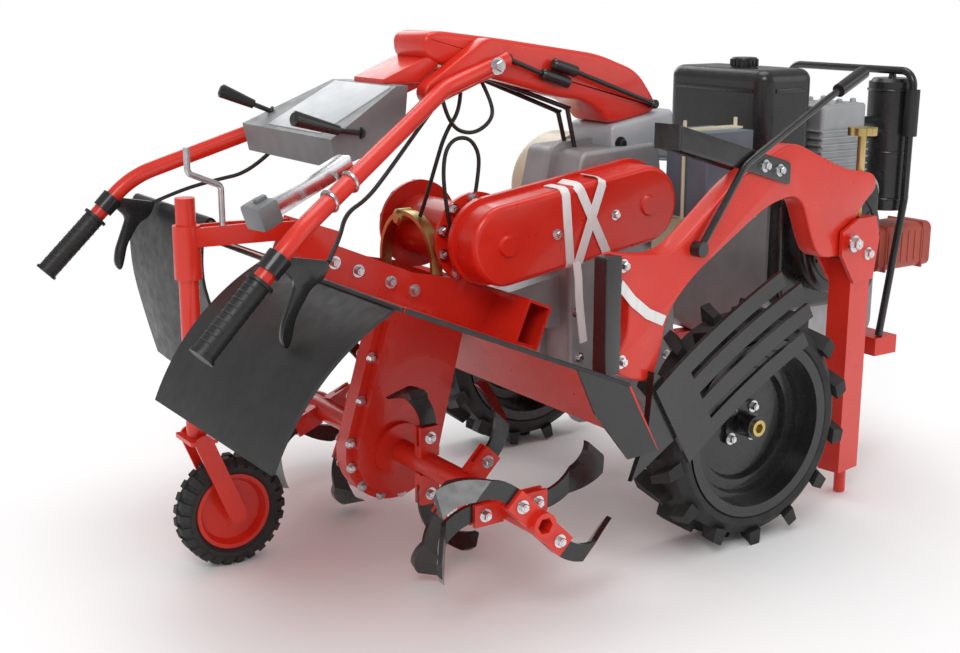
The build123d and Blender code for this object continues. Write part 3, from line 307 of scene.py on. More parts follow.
def band(bm, points, wide, thick):
    """A flat strap along points, whose width lies along each point's second vector."""
    rows = []
    for i, (p, across) in enumerate(points):
        before = points[max(i - 1, 0)][0]
        after = points[min(i + 1, len(points) - 1)][0]
        run = (after - before).normalized()
        across = across.normalized()
        up = run.cross(across).normalized() * thick / 2
        half = across * wide / 2
        section = (half + up, up * 1.3, -half + up, -half - up, -up * 1.3, half - up)
        rows.append([bm.verts.new(p + s) for s in section])
    for a, b in zip(rows, rows[1:]):
        for j in range(6):
            bm.faces.new((a[j], a[(j + 1) % 6], b[(j + 1) % 6], b[j]))
    bm.faces.new(rows[0])
    bm.faces.new(list(reversed(rows[-1])))


# Bolts, in places given as x and z on a face that stands so far out to a side
ROTOR = (-610, 206)
INPUT = (-468, 640)
HOOD_REAR = (-900, 632)
HOOD_FALL = 0.426  # of the hood's sloping top, for each millimetre forward
CASE_REAR = (Vector((-711, 231)), Vector((-633, 488)))
CASE_FRONT = (Vector((-509, 181)), Vector((-468, 418)))
CASE_BOLT_R = 104
INPUT_BOLT_R = 80
CHEEK_BOLT_LIFT = 42


def hood_z(x):
    """Height of the hood's sloping top."""
    return HOOD_REAR[1] - HOOD_FALL * (x - HOOD_REAR[0])


def on_circle(centre, radius, degrees):
    """A place on a circle in x and z."""
    a = math.radians(degrees)
    return centre[0] + radius * math.cos(a), centre[1] + radius * math.sin(a)


CASE_BOLTS = [edge[0].lerp(edge[1], k / 3) for k in range(4) for edge in (CASE_REAR, CASE_FRONT)]
CASE_BOLTS += [on_circle(ROTOR, CASE_BOLT_R, 195 + 28 * k) for k in range(5)]
INPUT_BOLTS = [on_circle(INPUT, INPUT_BOLT_R, degrees) for degrees in range(25, 240, 35)]
CHEEK_BOLTS = [(x, hood_z(x) + CHEEK_BOLT_LIFT) for x in (-785, -735, -665, -612, -420)]
COVER_BOLTS = ((-351, 652), (-205, 678))
BOX_BOLTS = ((-190, 350), (-200, 450), (-200, 560), (20, 600), (55, 480), (58, 320), (-60, 230), (-150, 280))
SADDLE_BOLTS = ((-72, 800), (60, 800))
ARM_BOLTS = ((-420, 975),)
HUB_BOLTS = [(x, AXLE_Z + z) for x, z in ((-30, -30), (30, -30), (30, 30), (-30, 30))]
FACE_BOLTS = (  # body, finish, width across flats, how far out the face is, its sides and the places
    ("chassis", "bright_zinc", 13, 20, SIDES, CASE_BOLTS),
    ("chassis", "bright_zinc", 15, 112, SIDES, (*CHEEK_BOLTS, *INPUT_BOLTS)),
    ("chassis", "bright_zinc", 13, 224, SIDES[:1], COVER_BOLTS),
    ("chassis", "bright_zinc", 13, 95, SIDES, BOX_BOLTS),
    ("chassis", "black_paint", 17, 74, SIDES, SADDLE_BOLTS),
    ("chassis", "bright_zinc", 20, 116, SIDES, ARM_BOLTS),
    ("wheel_right", "bright_zinc", 15, 400, SIDES[:1], HUB_BOLTS),
    ("wheel_left", "bright_zinc", 15, 400, SIDES[1:], HUB_BOLTS),
)
TINE_STATIONS = (150, 290, 430, 520)
STATION_TURN = 45
LEFT_TURN = 22.5
HOLDER_FACE = 12.3
HOLDER_BOLT_R = 58
HOLDER_BOLT = 15


def holder_bolts(side):
    """Places of the tine holders' bolts on the operator's right (-1) or left (1)."""
    spots = []
    for k, y in enumerate(TINE_STATIONS):
        for half in (0, 180):
            a = math.radians(half + k * STATION_TURN + (LEFT_TURN if side > 0 else 0))
            x = ROTOR[0] + HOLDER_BOLT_R * math.sin(a)
            spots.append((x, side * (y + HOLDER_FACE), ROTOR[1] + HOLDER_BOLT_R * math.cos(a)))
    return spots


bolt_rows = {}
for body, finish, flats, out, sides, spots in FACE_BOLTS:
    for side, axis in sides:
        row = (flats, axis, [(x, side * out, z) for x, z in spots])
        bolt_rows.setdefault((body, finish), []).append(row)
bolt_rows["rotor", "bright_zinc"] = [(HOLDER_BOLT, axis, holder_bolts(side)) for side, axis in SIDES]
for (body, finish), rows in bolt_rows.items():

    def bolts(bm, rows=rows):
        for flats, axis, spots in rows:
            for spot in spots:
                bolt(bm, at(*spot), axis, flats / 1000)

    place(bolts, f"bolts_{finish}_{body}", finish, body)

# Control cables: smooth curves of their real diameter; the table also lists each one's length
CABLE_D = 0.008


def cable(name, route):
    """A cable drawn by the route's points, from the piece that it leaves to the one that it enters."""
    data = bpy.data.curves.new(name, "CURVE")
    data.dimensions = "3D"
    spline = data.splines.new("NURBS")
    spline.points.add(len(route) - 1)
    for point, spot in zip(spline.points, route):
        point.co = (*at(*spot), 1.0)
    spline.order_u = 3
    spline.use_endpoint_u = True
    spline.resolution_u = 10
    data.bevel_depth = CABLE_D / 2
    data.bevel_resolution = 3
    data.use_fill_caps = True
    data.materials.append(MATS["rubber"])
    obj = bpy.data.objects.new(name, data)
    bpy.context.scene.collection.objects.link(obj)
    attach(obj, "chassis")


CABLES = (  # name, length in metres and route
    (
        "cable_loop",
        0.27,
        (
            (-430, -60, 958),
            (-420, -88, 916),
            (-416, -100, 872),
            (-470, -104, 842),
            (-530, -110, 864),
            (-552, -122, 922),
        ),
    ),
    (
        "cable_head",
        0.33,
        (
            (-466, -108, 732),
            (-458, -109, 778),
            (-461, -110, 812),
            (-484, -112, 840),
            (-522, -114, 840),
            (-545, -116, 810),
            (-547, -118, 740),
            (-528, -112, 664),
        ),
    ),
    (
        "cable_depth",
        0.32,
        (
            (-470, -60, 968),
            (-480, -84, 900),
            (-530, -98, 850),
            (-548, -92, 790),
            (-552, -64, 725),
            (-553, -40, 682),
        ),
    ),
    (
        "cable_right",
        0.52,
        (
            (-942, -389, 688),
            (-900, -350, 714),
            (-840, -262, 742),
            (-760, -196, 752),
            (-690, -150, 790),
            (-630, -140, 850),
            (-585, -144, 903),
        ),
    ),
    (
        "cable_left",
        0.32,
        ((-942, 389, 688), (-900, 350, 714), (-850, 280, 740), (-806, 200, 762), (-776, 150, 812)),
    ),
)
for name, length, route in CABLES:
    cable(name, route)

# White lashing: bands across the drive cover, one hanging end, and one round the plough's leg
STRAP_W, STRAP_T = 0.020, 0.0016
COVER_FACE_Y = -225.2  # just outside the cover's face
COVER_RIM_Y = -211  # where the cover's rounded rim starts
COVER_BACK_Y = -166
COVER_OUT = 82  # from the cover's middle line to just outside its edge


def cover_line(x):
    """Height of the drive cover's middle line."""
    return INPUT[1] + (x - INPUT[0]) / 7


def wrap(top_x, low_x, lift):
    """Points of a band that runs round the cover from its upper edge, over its face, to its lower edge."""
    top = Vector((top_x, cover_line(top_x) + COVER_OUT))
    low = Vector((low_x, cover_line(low_x) - COVER_OUT))
    run = (low - top).normalized()
    across = Vector((run.y, 0, -run.x))
    face = COVER_FACE_Y - lift
    path = [(top, COVER_BACK_Y), (top, COVER_RIM_Y), (top + run * 3, face + 6), (top + run * 13, face)]
    path += [(low - run * 13, face), (low - run * 3, face + 6), (low, COVER_RIM_Y), (low, COVER_BACK_Y)]
    return [(at(q.x, y, q.y), across) for q, y in path]


COVER_STRAPS = ((-333, -317, 0.4), (-303, -222, 2.2), (-240, -304, 4.0))  # x above, x below and lift
HANGING_END = ((-306, -230, 592), (-303, -233, 560), (-300, -232, 520), (-292, -230, 470), (-282, -226, 424))
LEG_STRAP = ((-414, -498, 606), (-379, -492, 571), (-337, -485, 541), (-290, -477, 520))


def lashing(bm):
    for top_x, low_x, lift in COVER_STRAPS:
        band(bm, wrap(top_x, low_x, lift), STRAP_W, STRAP_T)
    band(bm, [(at(*p), Vector((1, 0.1, 0.1))) for p in HANGING_END], STRAP_W, STRAP_T)
    band(bm, [(at(*p), Vector((0.45, 0, 0.9))) for p in LEG_STRAP], STRAP_W, STRAP_T)


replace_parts(place(lashing, "lashing_bands", "webbing", "chassis", 60), "lashing_strap")

# Console: a panel on its sloping top, with four raised guides
PANEL_ENDS = ((-806, 0, 865.5), (-656, 0, 943.5))
PANEL_W, PANEL_T = 0.22, 0.004
GUIDE = (0.05, 0.008, 0.004)
GUIDE_Y = (-0.062, -0.036, 0.036, 0.062)
GUIDE_UP = 0.72  # share of the way up the slope


def console_panel(bm):
    low, high = (at(*p) for p in PANEL_ENDS)
    run = (high - low).normalized()
    across = Vector(LEFT)
    out = run.cross(across).normalized() * -1
    turn = Matrix((run, across, out)).transposed()
    size = ((high - low).length, PANEL_W, PANEL_T)
    block(bm, low.lerp(high, 0.5) + out * 0.001, size, turn, 0.0016)
    for y in GUIDE_Y:
        block(bm, low.lerp(high, GUIDE_UP) + Vector((0, y, 0)) + out * PANEL_T, GUIDE, turn, 0.001)


place(console_panel, "console_panel", "grey_sheet", "chassis")

# Shift rods from under the handle's cover to the gearbox, each bent once
SHIFT_ROD_R = 0.005
SHIFT_RODS = ((-16, 876), (16, 866))  # y, and the bend's height
SHIFT_BEND_X = -172
SHIFT_TOP, SHIFT_FOOT = (-392, 950), (-150, 789)  # in x and z


def shift_rods(bm):
    for y, bend_z in SHIFT_RODS:
        bend = at(SHIFT_BEND_X, y, bend_z)
        rod(bm, at(SHIFT_TOP[0], y, SHIFT_TOP[1]), bend, SHIFT_ROD_R)
        rod(bm, bend, at(SHIFT_FOOT[0], y, SHIFT_FOOT[1]), SHIFT_ROD_R)
        ring(bm, stand(bend, (0.2, 0, -1)), 0.006, 0.003, 16, 6)


place(shift_rods, "shift_rods", "black_paint", "chassis")

# Engine: fins on the head, ribs on the starter and its pull, bands on the cleaner, vents on the muffler,
# and ribs on the tank
FINS, FIN_LOW, FIN_STEP = 7, 706, 16
FIN = (0.160, 0.142, 0.004)
HEAD_X, HEAD_Y, HEAD_TOP = (480, 526, 572), (-140, -95, -50), 862
STARTER = (445, -249, 572)
STARTER_RINGS = (0.050, 0.104)
STARTER_RIBS, STARTER_RIB_R = 12, 0.077
STARTER_RIB = (0.042, 0.007, 0.005)
PULL_X, PULL_Y, PULL_Z = 350, -226, (655, 712, 722)  # the cord's low and high end and the handle
PULL_HANDLE = (0.064, 0.020, 0.024)
CLEANER = (722, -126)
CLEANER_BANDS, CLEANER_BAND_R = (628, 740, 886), 0.0545
CLEANER_LID_Z, CLEANER_NUT_Z = 905, 913
MUFFLER_Z = 507
VENTS, VENT_X, VENT_STEP, VENT_Y = 6, 690, 24, -178
VENT = (0.008, 0.004, 0.074)
MUFFLER_STRAP_X, MUFFLER_STRAP_Y = (680, 812), -124
MUFFLER_STRAP = (0.006, 0.112, 0.114)
TANK_RIB_Z = (730, 900)
TANK_REAR_X, TANK_MIDDLE_X, TANK_SIDE_Y = 262, 343, 160
TANK_REAR_RIB, TANK_SIDE_RIB = (0.006, 0.25, 0.010), (0.09, 0.006, 0.010)
TANK_CAP = (335, -20, 946)
CAP_TEETH, CAP_TOOTH_R = 16, 0.030
CAP_TOOTH = (0.005, 0.005, 0.016)


def engine_fins(bm):
    for k in range(FINS):
        block(bm, at(HEAD_X[1], HEAD_Y[1], FIN_LOW + FIN_STEP * k), FIN, None, 0.0012)
    for x in HEAD_X:
        for y in (HEAD_Y[0], HEAD_Y[2]):
            bolt(bm, at(x, y, HEAD_TOP), UP, 0.013)


def starter_ribs(bm):
    face = stand(at(*STARTER), RIGHT)
    for radius in STARTER_RINGS:
        ring(bm, face, radius, 0.004, 44, 6)
    for a in around(STARTER_RIBS):
        centre = face @ Vector((STARTER_RIB_R * math.cos(a), STARTER_RIB_R * math.sin(a), 0))
        block(bm, centre, STARTER_RIB, face.to_3x3() @ Matrix.Rotation(a, 3, "Z"), 0.0015)
    low, high, handle = (at(PULL_X, PULL_Y, z) for z in PULL_Z)
    rod(bm, low, high, 0.011)
    block(bm, handle, PULL_HANDLE, None, 0.006)


def cleaner_bands(bm):
    for z in CLEANER_BANDS:
        ring(bm, stand(at(*CLEANER, z), UP), CLEANER_BAND_R, 0.003, 44, 8)
    disc(bm, stand(at(*CLEANER, CLEANER_LID_Z), UP), 0, 0.008, 0.050, 0.044, 40)
    disc(bm, stand(at(*CLEANER, CLEANER_NUT_Z), UP), 0, 0.010, 0.010, 0.008, 12)


def muffler_vents(bm):
    for k in range(VENTS):
        block(bm, at(VENT_X + VENT_STEP * k, VENT_Y, MUFFLER_Z), VENT, None, 0.0015)
    for x in MUFFLER_STRAP_X:
        block(bm, at(x, MUFFLER_STRAP_Y, MUFFLER_Z), MUFFLER_STRAP, None, 0.002)


def tank_ribs(bm):
    for z in TANK_RIB_Z:
        block(bm, at(TANK_REAR_X, 0, z), TANK_REAR_RIB, None, 0.0025)
        for y in (-TANK_SIDE_Y, TANK_SIDE_Y):
            block(bm, at(TANK_MIDDLE_X, y, z), TANK_SIDE_RIB, None, 0.0025)
    cap = stand(at(*TANK_CAP), UP)
    for a in around(CAP_TEETH):
        centre = cap @ Vector((CAP_TOOTH_R * math.cos(a), CAP_TOOTH_R * math.sin(a), 0.010))
        block(bm, centre, CAP_TOOTH, Matrix.Rotation(a, 3, "Z"), 0.001)


place(engine_fins, "engine_fins", "casting", "chassis")
place(starter_ribs, "starter_ribs", "black_plastic", "chassis")
place(cleaner_bands, "cleaner_bands", "black_plastic", "chassis")
place(muffler_vents, "muffler_vents", "oxide_paint", "chassis")
place(tank_ribs, "tank_ribs", "black_plastic", "chassis")

# Bearing caps on both faces of the gearbox, each with four bolts
CAP_FACE_Y = 95
CAP_T = 8
CAP_BOLT_IN = 9  # from the cap's edge to its bolts
BEARING_CAPS = ((-90, 470, 46), (10, 400, 38), (-110, 360, 34))  # x, z and radius


def gearbox_caps(bm):
    for side, axis in SIDES:
        for x, z, r in BEARING_CAPS:
            matrix = stand(at(x, side * CAP_FACE_Y, z), axis)
            disc(bm, matrix, 0, CAP_T / 1000, r / 1000, r / 1000 - 0.003, 36)
            for k in range(4):
                bolt_x, bolt_z = on_circle((x, z), r - CAP_BOLT_IN, 45 + 90 * k)
                bolt(bm, at(bolt_x, side * (CAP_FACE_Y + CAP_T), bolt_z), axis, 0.010)


place(gearbox_caps, "gearbox_caps", "casting", "chassis")

# Plough's bolts, in its own upright plane
PLOUGH_PIN = (306, -350)  # where that plane crosses the post, in x and y
PLOUGH_TURN = math.radians(9.6)
PLOUGH_RIGHT = (math.sin(PLOUGH_TURN), -math.cos(PLOUGH_TURN), 0)
PLOUGH_BOLTS = (  # x, y and z in that plane, and width across flats
    (306, -45, 592, 0.022),
    (380, -35, 560, 0.017),
    (40, -29.3, 771, 0.015),
    (-10, -29.3, 784, 0.015),
    (-420, -23, 640, 0.015),
    (-420, -23, 462, 0.015),
)


def on_plough(x, y, z):
    """A place in the plough's own upright plane, turned to where the plough is lashed."""
    ahead = x - PLOUGH_PIN[0]
    cos, sin = math.cos(PLOUGH_TURN), math.sin(PLOUGH_TURN)
    return at(PLOUGH_PIN[0] + ahead * cos - y * sin, PLOUGH_PIN[1] + ahead * sin + y * cos, z)


def plough_bolts(bm):
    for x, y, z, flats in PLOUGH_BOLTS:
        bolt(bm, on_plough(x, y, z), PLOUGH_RIGHT, flats)


place(plough_bolts, "plough_bolts", "bright_zinc", "chassis")

# Seal along the hood's side and rear edges
SEAL_R = 0.0045
SEAL_SIDE_Y, SEAL_REAR_Y = 560, 556
SEAL_REAR, SEAL_FRONT = (-898, 634), (-440, 439)  # in x and z


def hood_seal(bm):
    for y in (-SEAL_SIDE_Y, SEAL_SIDE_Y):
        rod(bm, at(SEAL_REAR[0], y, SEAL_REAR[1]), at(SEAL_FRONT[0], y, SEAL_FRONT[1]), SEAL_R, 12)
    ends = (at(HOOD_REAR[0], y, SEAL_REAR[1]) for y in (-SEAL_REAR_Y, SEAL_REAR_Y))
    rod(bm, *ends, SEAL_R, 12)


place(hood_seal, "hood_seal", "rubber", "chassis")

# Rings on the grips
GRIP_ENDS = ((-1064, 391, 670), (-1169, 398, 567))  # on the left
GRIP_RINGS, GRIP_RING_FIRST, GRIP_RING_STEP = 9, 0.12, 0.095  # shares of the grip's length
GRIP_RING_R = 0.0201


def grip_ends(side):
    """Both ends of the grip on the operator's right (-1) or left (1)."""
    return [at(x, side * y, z) for x, y, z in GRIP_ENDS]


def grip_rings(bm):
    for side in (-1, 1):
        start, end = grip_ends(side)
        for k in range(GRIP_RINGS):
            spot = start.lerp(end, GRIP_RING_FIRST + GRIP_RING_STEP * k)
            ring(bm, stand(spot, end - start), GRIP_RING_R, 0.0012, 28, 6)


place(grip_rings, "grip_rings", "rubber", "chassis")

# Handle: the arched cover on the saddle, its tongue to the console, and the arms that carry the tubes
BEAM_HALF = 62
TONGUE_IN = 4
ARM_OUT = 100
BEAM_OUTLINE = (
    (38, 884), (38, 861), (-94, 838), (-117, 868), (-165, 895), (-223, 902), (-372, 941), (-549, 985),
    (-556, 1030), (-532, 1044), (-367, 1024), (-121, 988), (-14, 950),
)
TONGUE = ((-642, 945), (-642, 954), (-548, 992), (-520, 992), (-520, 974), (-562, 945))
ARM_ENDS = ((-424, 990), 38, (-552, 927), 23)  # each end's middle and radius


def handle_cover(bm):
    slab(bm, rounded(BEAM_OUTLINE, 34), -BEAM_HALF, BEAM_HALF, 12)
    slab(bm, TONGUE, -BEAM_HALF + TONGUE_IN, BEAM_HALF - TONGUE_IN, 2)


def arm_plates(bm):
    for low, high in ((-ARM_OUT, -BEAM_HALF), (BEAM_HALF, ARM_OUT)):
        slab(bm, link(*ARM_ENDS), low, high, 6)


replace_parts(place(handle_cover, "handle_cover", "red_paint", "chassis", 30), "handle_beam")
place(arm_plates, "arm_plates", "red_paint", "chassis", 30)

# Grey saddle under the cover, on a flange that seats on the gearbox
SADDLE = ((-98, 838), (76, 868), (84, 758), (-90, 774))
SADDLE_HALF = 74
FLANGE = ((-90, 774), (84, 758), (84, 752), (-90, 768))
FLANGE_HALF = 80


def saddle(bm):
    slab(bm, rounded(SADDLE, 16), -SADDLE_HALF, SADDLE_HALF, 8)
    slab(bm, FLANGE, -FLANGE_HALF, FLANGE_HALF, 2)


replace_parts(place(saddle, "saddle_shell", "grey_sheet", "chassis", 30), "saddle_cover")

# Two shift levers on the cover's right side, each a boss, a rod and a grip
SHIFT_BOSS_Y = -BEAM_HALF - 22
SHIFT_Y = -BEAM_HALF - 14
SHIFT_LEVERS = (  # boss, grip's start and grip's end, in x and z
    ((-368, 986), (-284, 954), (-214, 932)),
    ((18, 879), (-194, 954), (-256, 973)),
)


def shift_levers(bm):
    for boss, start, tip in SHIFT_LEVERS:
        rod(bm, at(boss[0], -BEAM_HALF, boss[1]), at(boss[0], SHIFT_BOSS_Y, boss[1]), 0.010)
        rod(bm, at(boss[0], SHIFT_Y, boss[1]), at(start[0], SHIFT_Y, start[1]), 0.005)
        rod(bm, at(start[0], SHIFT_Y, start[1]), at(tip[0], SHIFT_Y, tip[1]), 0.012)


place(shift_levers, "shift_levers", "black_plastic", "chassis")

# Console levers: a ring at the seat, a thin rod and a tapered grip each
CONSOLE_LEVERS = (  # seat, rod's end and grip's end
    ((-769, 172, 884), (-800, 184, 898), (-860, 202, 926)),
    ((-743, -148, 866), (-802, -172, 876), (-890, -176, 902)),
)


def console_levers(bm):
    for places in CONSOLE_LEVERS:
        seat, knee, tip = (at(*p) for p in places)
        rod(bm, seat, knee, 0.005)
        disc(bm, stand(knee, tip - knee), 0, (tip - knee).length, 0.009, 0.014, 20)
        disc(bm, stand(tip, tip - knee), 0, 0.004, 0.014, 0.009, 20)
        ring(bm, stand(seat, knee - seat), 0.008, 0.003, 20, 8)


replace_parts(place(console_levers, "console_grips", "black_plastic", "chassis"), "console_levers")

# Clutch levers: a clamp round the tube and a blade hanging under each grip
LEVER_BLADE = (
    (-1022, 706), (-938, 690), (-952, 660), (-975, 650), (-1004, 606), (-1016, 560), (-1024, 552),
    (-1034, 568), (-1030, 596), (-1003, 662), (-1030, 690),
)
LEVER_Y, LEVER_HALF = 389, 6
CLAMP_BACK, CLAMP_LENGTH = 0.052, 0.034  # from the grip's start
for side, node in ((-1, "clutch_lever_right"), (1, "clutch_lever_left")):

    def lever(bm, side=side):
        start, end = grip_ends(side)
        run = (end - start).normalized()
        disc(bm, stand(start - run * CLAMP_BACK, run), 0, CLAMP_LENGTH, 0.022, 0.021, 28)
        middle = side * LEVER_Y
        slab(bm, rounded(LEVER_BLADE, 12), middle - LEVER_HALF, middle + LEVER_HALF, 3)

    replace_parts(place(lever, f"{node}_blade", "black_paint", "chassis"), node)

# Switch block on the right handlebar: a plated channel with a moulded head at its lower end
CHANNEL = ((-835, -262, 832), (-1015, -300, 762))
CHANNEL_W, CHANNEL_H = 0.034, 0.028
BAR = (Vector((-835, -295, 811)), Vector((-985, -383, 747)))  # the tube's middle line beside the channel
BAR_CLAMPS = (0.12, 0.5)  # shares of the way along it
SWITCH_HEAD, SWITCH_KEY = (0.044, 0.052, 0.044), (0.022, 0.012, 0.008)


def channel_lie():
    """The channel's two ends, and the turn of a block that lies along it."""
    start, end = (at(*p) for p in CHANNEL)
    run = (end - start).normalized()
    across = run.cross(Vector(UP)).normalized()
    return start, end, Matrix((run, across, run.cross(across))).transposed()


def switch_channel(bm):
    start, end, turn = channel_lie()
    block(bm, start.lerp(end, 0.5), ((end - start).length, CHANNEL_W, CHANNEL_H), turn, 0.004)
    for share in BAR_CLAMPS:
        ring(bm, stand(at(*BAR[0].lerp(BAR[1], share)), end - start), 0.017, 0.004, 28, 8)


def switch_head(bm):
    start, end, turn = channel_lie()
    block(bm, end, SWITCH_HEAD, turn, 0.007)
    block(bm, end + turn @ Vector((-0.006, 0, -0.024)), SWITCH_KEY, turn, 0.002)


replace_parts(place(switch_channel, "switch_channel", "bright_zinc", "chassis"), "switch_box")
place(switch_head, "switch_head", "grey_plastic", "chassis")

# Left apron: a rubber sheet that humps over the hood's rear edge and hangs behind the rotor
APRON_EDGE = ((-897, 632), (-906, 686), (-938, 692), (-950, 600), (-944, 480), (-902, 330))
APRON_Y = (135, 530)
APRON_ROWS = 12
APRON_RISE = 96  # how far the inner corner is cut up
APRON_CUT = 0.7  # share of the width that the cut takes
APRON_RIPPLE, APRON_WAVES = 5, 7
APRON_T = 0.006


def apron_curve():
    """The sheet's section in x and z, smoothed between the edge's points."""
    last = len(APRON_EDGE) - 3
    curve = []
    for k in range(last + 1):
        a, b, c = (Vector(q) for q in APRON_EDGE[k : k + 3])
        a = a if k == 0 else a.lerp(b, 0.5)
        c = c if k == last else b.lerp(c, 0.5)
        curve += [a * (1 - t) ** 2 + b * 2 * t * (1 - t) + c * t**2 for t in (0, 0.2, 0.4, 0.6, 0.8)]
    return [*curve, Vector(APRON_EDGE[-1])]


def left_apron(bm):
    curve = apron_curve()
    top, low = HOOD_REAR[1], APRON_EDGE[-1][1]
    rows = []
    for k in range(APRON_ROWS + 1):
        share = k / APRON_ROWS
        y = APRON_Y[0] + (APRON_Y[1] - APRON_Y[0]) * share
        hem = low + APRON_RISE * max(0, 1 - share / APRON_CUT)
        ripple = APRON_RIPPLE * math.sin(share * APRON_WAVES)
        row = []
        for q in curve:
            drop = min(1, max(0, (top - q.y) / 200))
            z = top - (top - q.y) * (top - hem) / (top - low) if q.y < top else q.y
            row.append(bm.verts.new(at(q.x + ripple * drop, y, z)))
        rows.append(row)
    for near, far in zip(rows, rows[1:]):
        for j in range(len(curve) - 1):
            bm.faces.new((near[j], far[j], far[j + 1], near[j + 1]))
    bmesh.ops.recalc_face_normals(bm, faces=bm.faces)
    bmesh.ops.solidify(bm, geom=bm.faces[:], thickness=APRON_T)


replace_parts(place(left_apron, "left_apron", "rubber", "chassis", 40), "apron_left")

# Plated arch across the tiller's frame, with its locking knob
ARCH_X, ARCH_Z, ARCH_R, ARCH_FOOT = -553, 584, 99, 500
ARCH_W, ARCH_T = 0.024, 0.009
ARCH_STEPS = 24
KNOB_Y, KNOB_Z, KNOB_HALF, KNOB_R = 24, ARCH_Z + ARCH_R - 10, 20, 0.017


def arch(bm):
    path = [(-ARCH_R, ARCH_FOOT)]
    for k in range(ARCH_STEPS + 1):
        a = math.pi - math.pi * k / ARCH_STEPS
        path.append((ARCH_R * math.cos(a), ARCH_Z + ARCH_R * math.sin(a)))
    path.append((ARCH_R, ARCH_FOOT))
    band(bm, [(at(ARCH_X, y, z), Vector((1, 0, 0))) for y, z in path], ARCH_W, ARCH_T)
    rod(bm, at(ARCH_X - KNOB_HALF, KNOB_Y, KNOB_Z), at(ARCH_X + KNOB_HALF, KNOB_Y, KNOB_Z), KNOB_R, 20)


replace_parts(place(arch, "depth_arch", "zinc", "chassis"), "depth_sector")

# Plough: gooseneck with its smooth curves, the yoke astride it and the black bar behind its leg
NECK = (
    (-440, 665), (-374, 652), (-284, 643), (-207, 687), (-91, 761), (90, 826), (248, 767), (320, 744),
    (413, 734), (422, 696), (384, 676), (344, 640), (334, 590), (300, 566), (250, 564), (206, 576),
    (181, 610), (130, 716), (20, 703), (-67, 663), (-214, 592), (-290, 530), (-302, 470), (-329, 404),
    (-398, 424), (-440, 450), (-440, 472), (-405, 500), (-398, 560), (-405, 590), (-440, 610),
)
NECK_HALF = 23
YOKE_IN, YOKE_OUT = 23.3, 29.3  # its plates' faces, from the plough's plane
YOKE_SIDE = ((-275, 835), (-275, 880), (80, 783), (80, 738))
YOKE_BRIDGE = ((-281, 835), (-281, 882), (-275, 880), (-275, 835))
BAR_SIDE = ((-482, 448), (-482, 664), (-441, 664), (-441, 448))
BAR_Y = (-40, -8)


def plough_neck(bm):
    slab(bm, rounded(NECK, 46), -NECK_HALF, NECK_HALF, 5, on_plough)


def plough_yoke(bm):
    for low, high in ((-YOKE_OUT, -YOKE_IN), (YOKE_IN, YOKE_OUT)):
        slab(bm, rounded(YOKE_SIDE, 8), low, high, 1.5, on_plough)
    slab(bm, YOKE_BRIDGE, -YOKE_OUT, YOKE_OUT, 1.5, on_plough)


def landside(bm):
    slab(bm, rounded(BAR_SIDE, 6), *BAR_Y, 3, on_plough)


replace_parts(place(plough_neck, "plough_neck", "red_paint", "chassis", 30), "plough_beam")
place(plough_yoke, "plough_yoke", "black_paint", "chassis")
place(landside, "plough_landside", "black_paint", "chassis")

# Tail tyre with its tread blocks, in two staggered rows
TAIL_AXLE = (-938, 70, 112)
TREAD_CELLS = 26
TREAD_CUTS = (0.0, 0.06, 0.14, 0.20, 0.50, 0.56, 0.64, 0.70)  # where a block of either row starts or ends
BLOCK_FROM, BLOCK_TO = 0.05, 0.65
TREAD_SECTION = (  # the block's offset and radius, the groove's, and how far its row is turned, in cells
    ((-20, 78), (-20, 78), 0),
    ((-27, 84), (-27, 84), 0),
    ((-27, 92), (-27, 92), 0),
    ((-28, 93), (-25.5, 93), 0),
    ((-28, 98), (-24, 97.5), 0),
    ((-18, 112), (-16, 107), 0),
    ((-3, 112), (-3, 107), 0),
    ((-2, 107), (-2, 107), 0),
    ((2, 107), (2, 107), 0),
    ((3, 112), (3, 107), 0.5),
    ((18, 112), (16, 107), 0.5),
    ((28, 98), (24, 97.5), 0.5),
    ((28, 93), (25.5, 93), 0.5),
    ((27, 92), (27, 92), 0),
    ((27, 84), (27, 84), 0),
    ((20, 78), (20, 78), 0),
)


def tail_tread(bm):
    x, y, z = TAIL_AXLE
    rows = []
    for cell in range(TREAD_CELLS):
        for cut in TREAD_CUTS:
            turn = 2 * math.pi * (cell + cut) / TREAD_CELLS
            row = []
            for land, groove, shift in TREAD_SECTION:
                offset, radius = land if BLOCK_FROM < (cut + shift) % 1 < BLOCK_TO else groove
                spot = at(x + radius * math.sin(turn), y + offset, z - radius * math.cos(turn))
                row.append(bm.verts.new(spot))
            rows.append(row)
    for i, row in enumerate(rows):
        after = rows[(i + 1) % len(rows)]
        for j in range(len(row)):
            k = (j + 1) % len(row)
            bm.faces.new((row[j], row[k], after[k], after[j]))


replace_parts(place(tail_tread, "tail_tread", "tyre_rubber", "tail_wheel", 30), "tail_tyre")

# Studio floor: pale near the object, and plain white to the camera far from it, like the backdrop
FLOOR_SIZE = 60
FADE_FROM, FADE_TO = 0.9, 2.0  # from the middle of the object
floor_mat, floor_tree, floor_bsdf = new_material("studio_floor")
floor_bsdf.inputs["Roughness"].default_value = 0.9
floor_bsdf.inputs["Specular IOR Level"].default_value = 0.1
floor_tint = noise_node(floor_tree, 1.5)
floor_tree.links.new(
    ramp_node(floor_tree, floor_tint.outputs["Fac"], (0.94, 0.94, 0.94), (0.96, 0.96, 0.96)),
    floor_bsdf.inputs["Base Color"],
)
floor_far = floor_tree.nodes.new("ShaderNodeEmission")
floor_mix = floor_tree.nodes.new("ShaderNodeMixShader")
floor_place = floor_tree.nodes.new("ShaderNodeNewGeometry")
floor_reach = floor_tree.nodes.new("ShaderNodeVectorMath")
floor_reach.operation = "LENGTH"
floor_fade = floor_tree.nodes.new("ShaderNodeMapRange")
floor_fade.inputs["From Min"].default_value = FADE_FROM
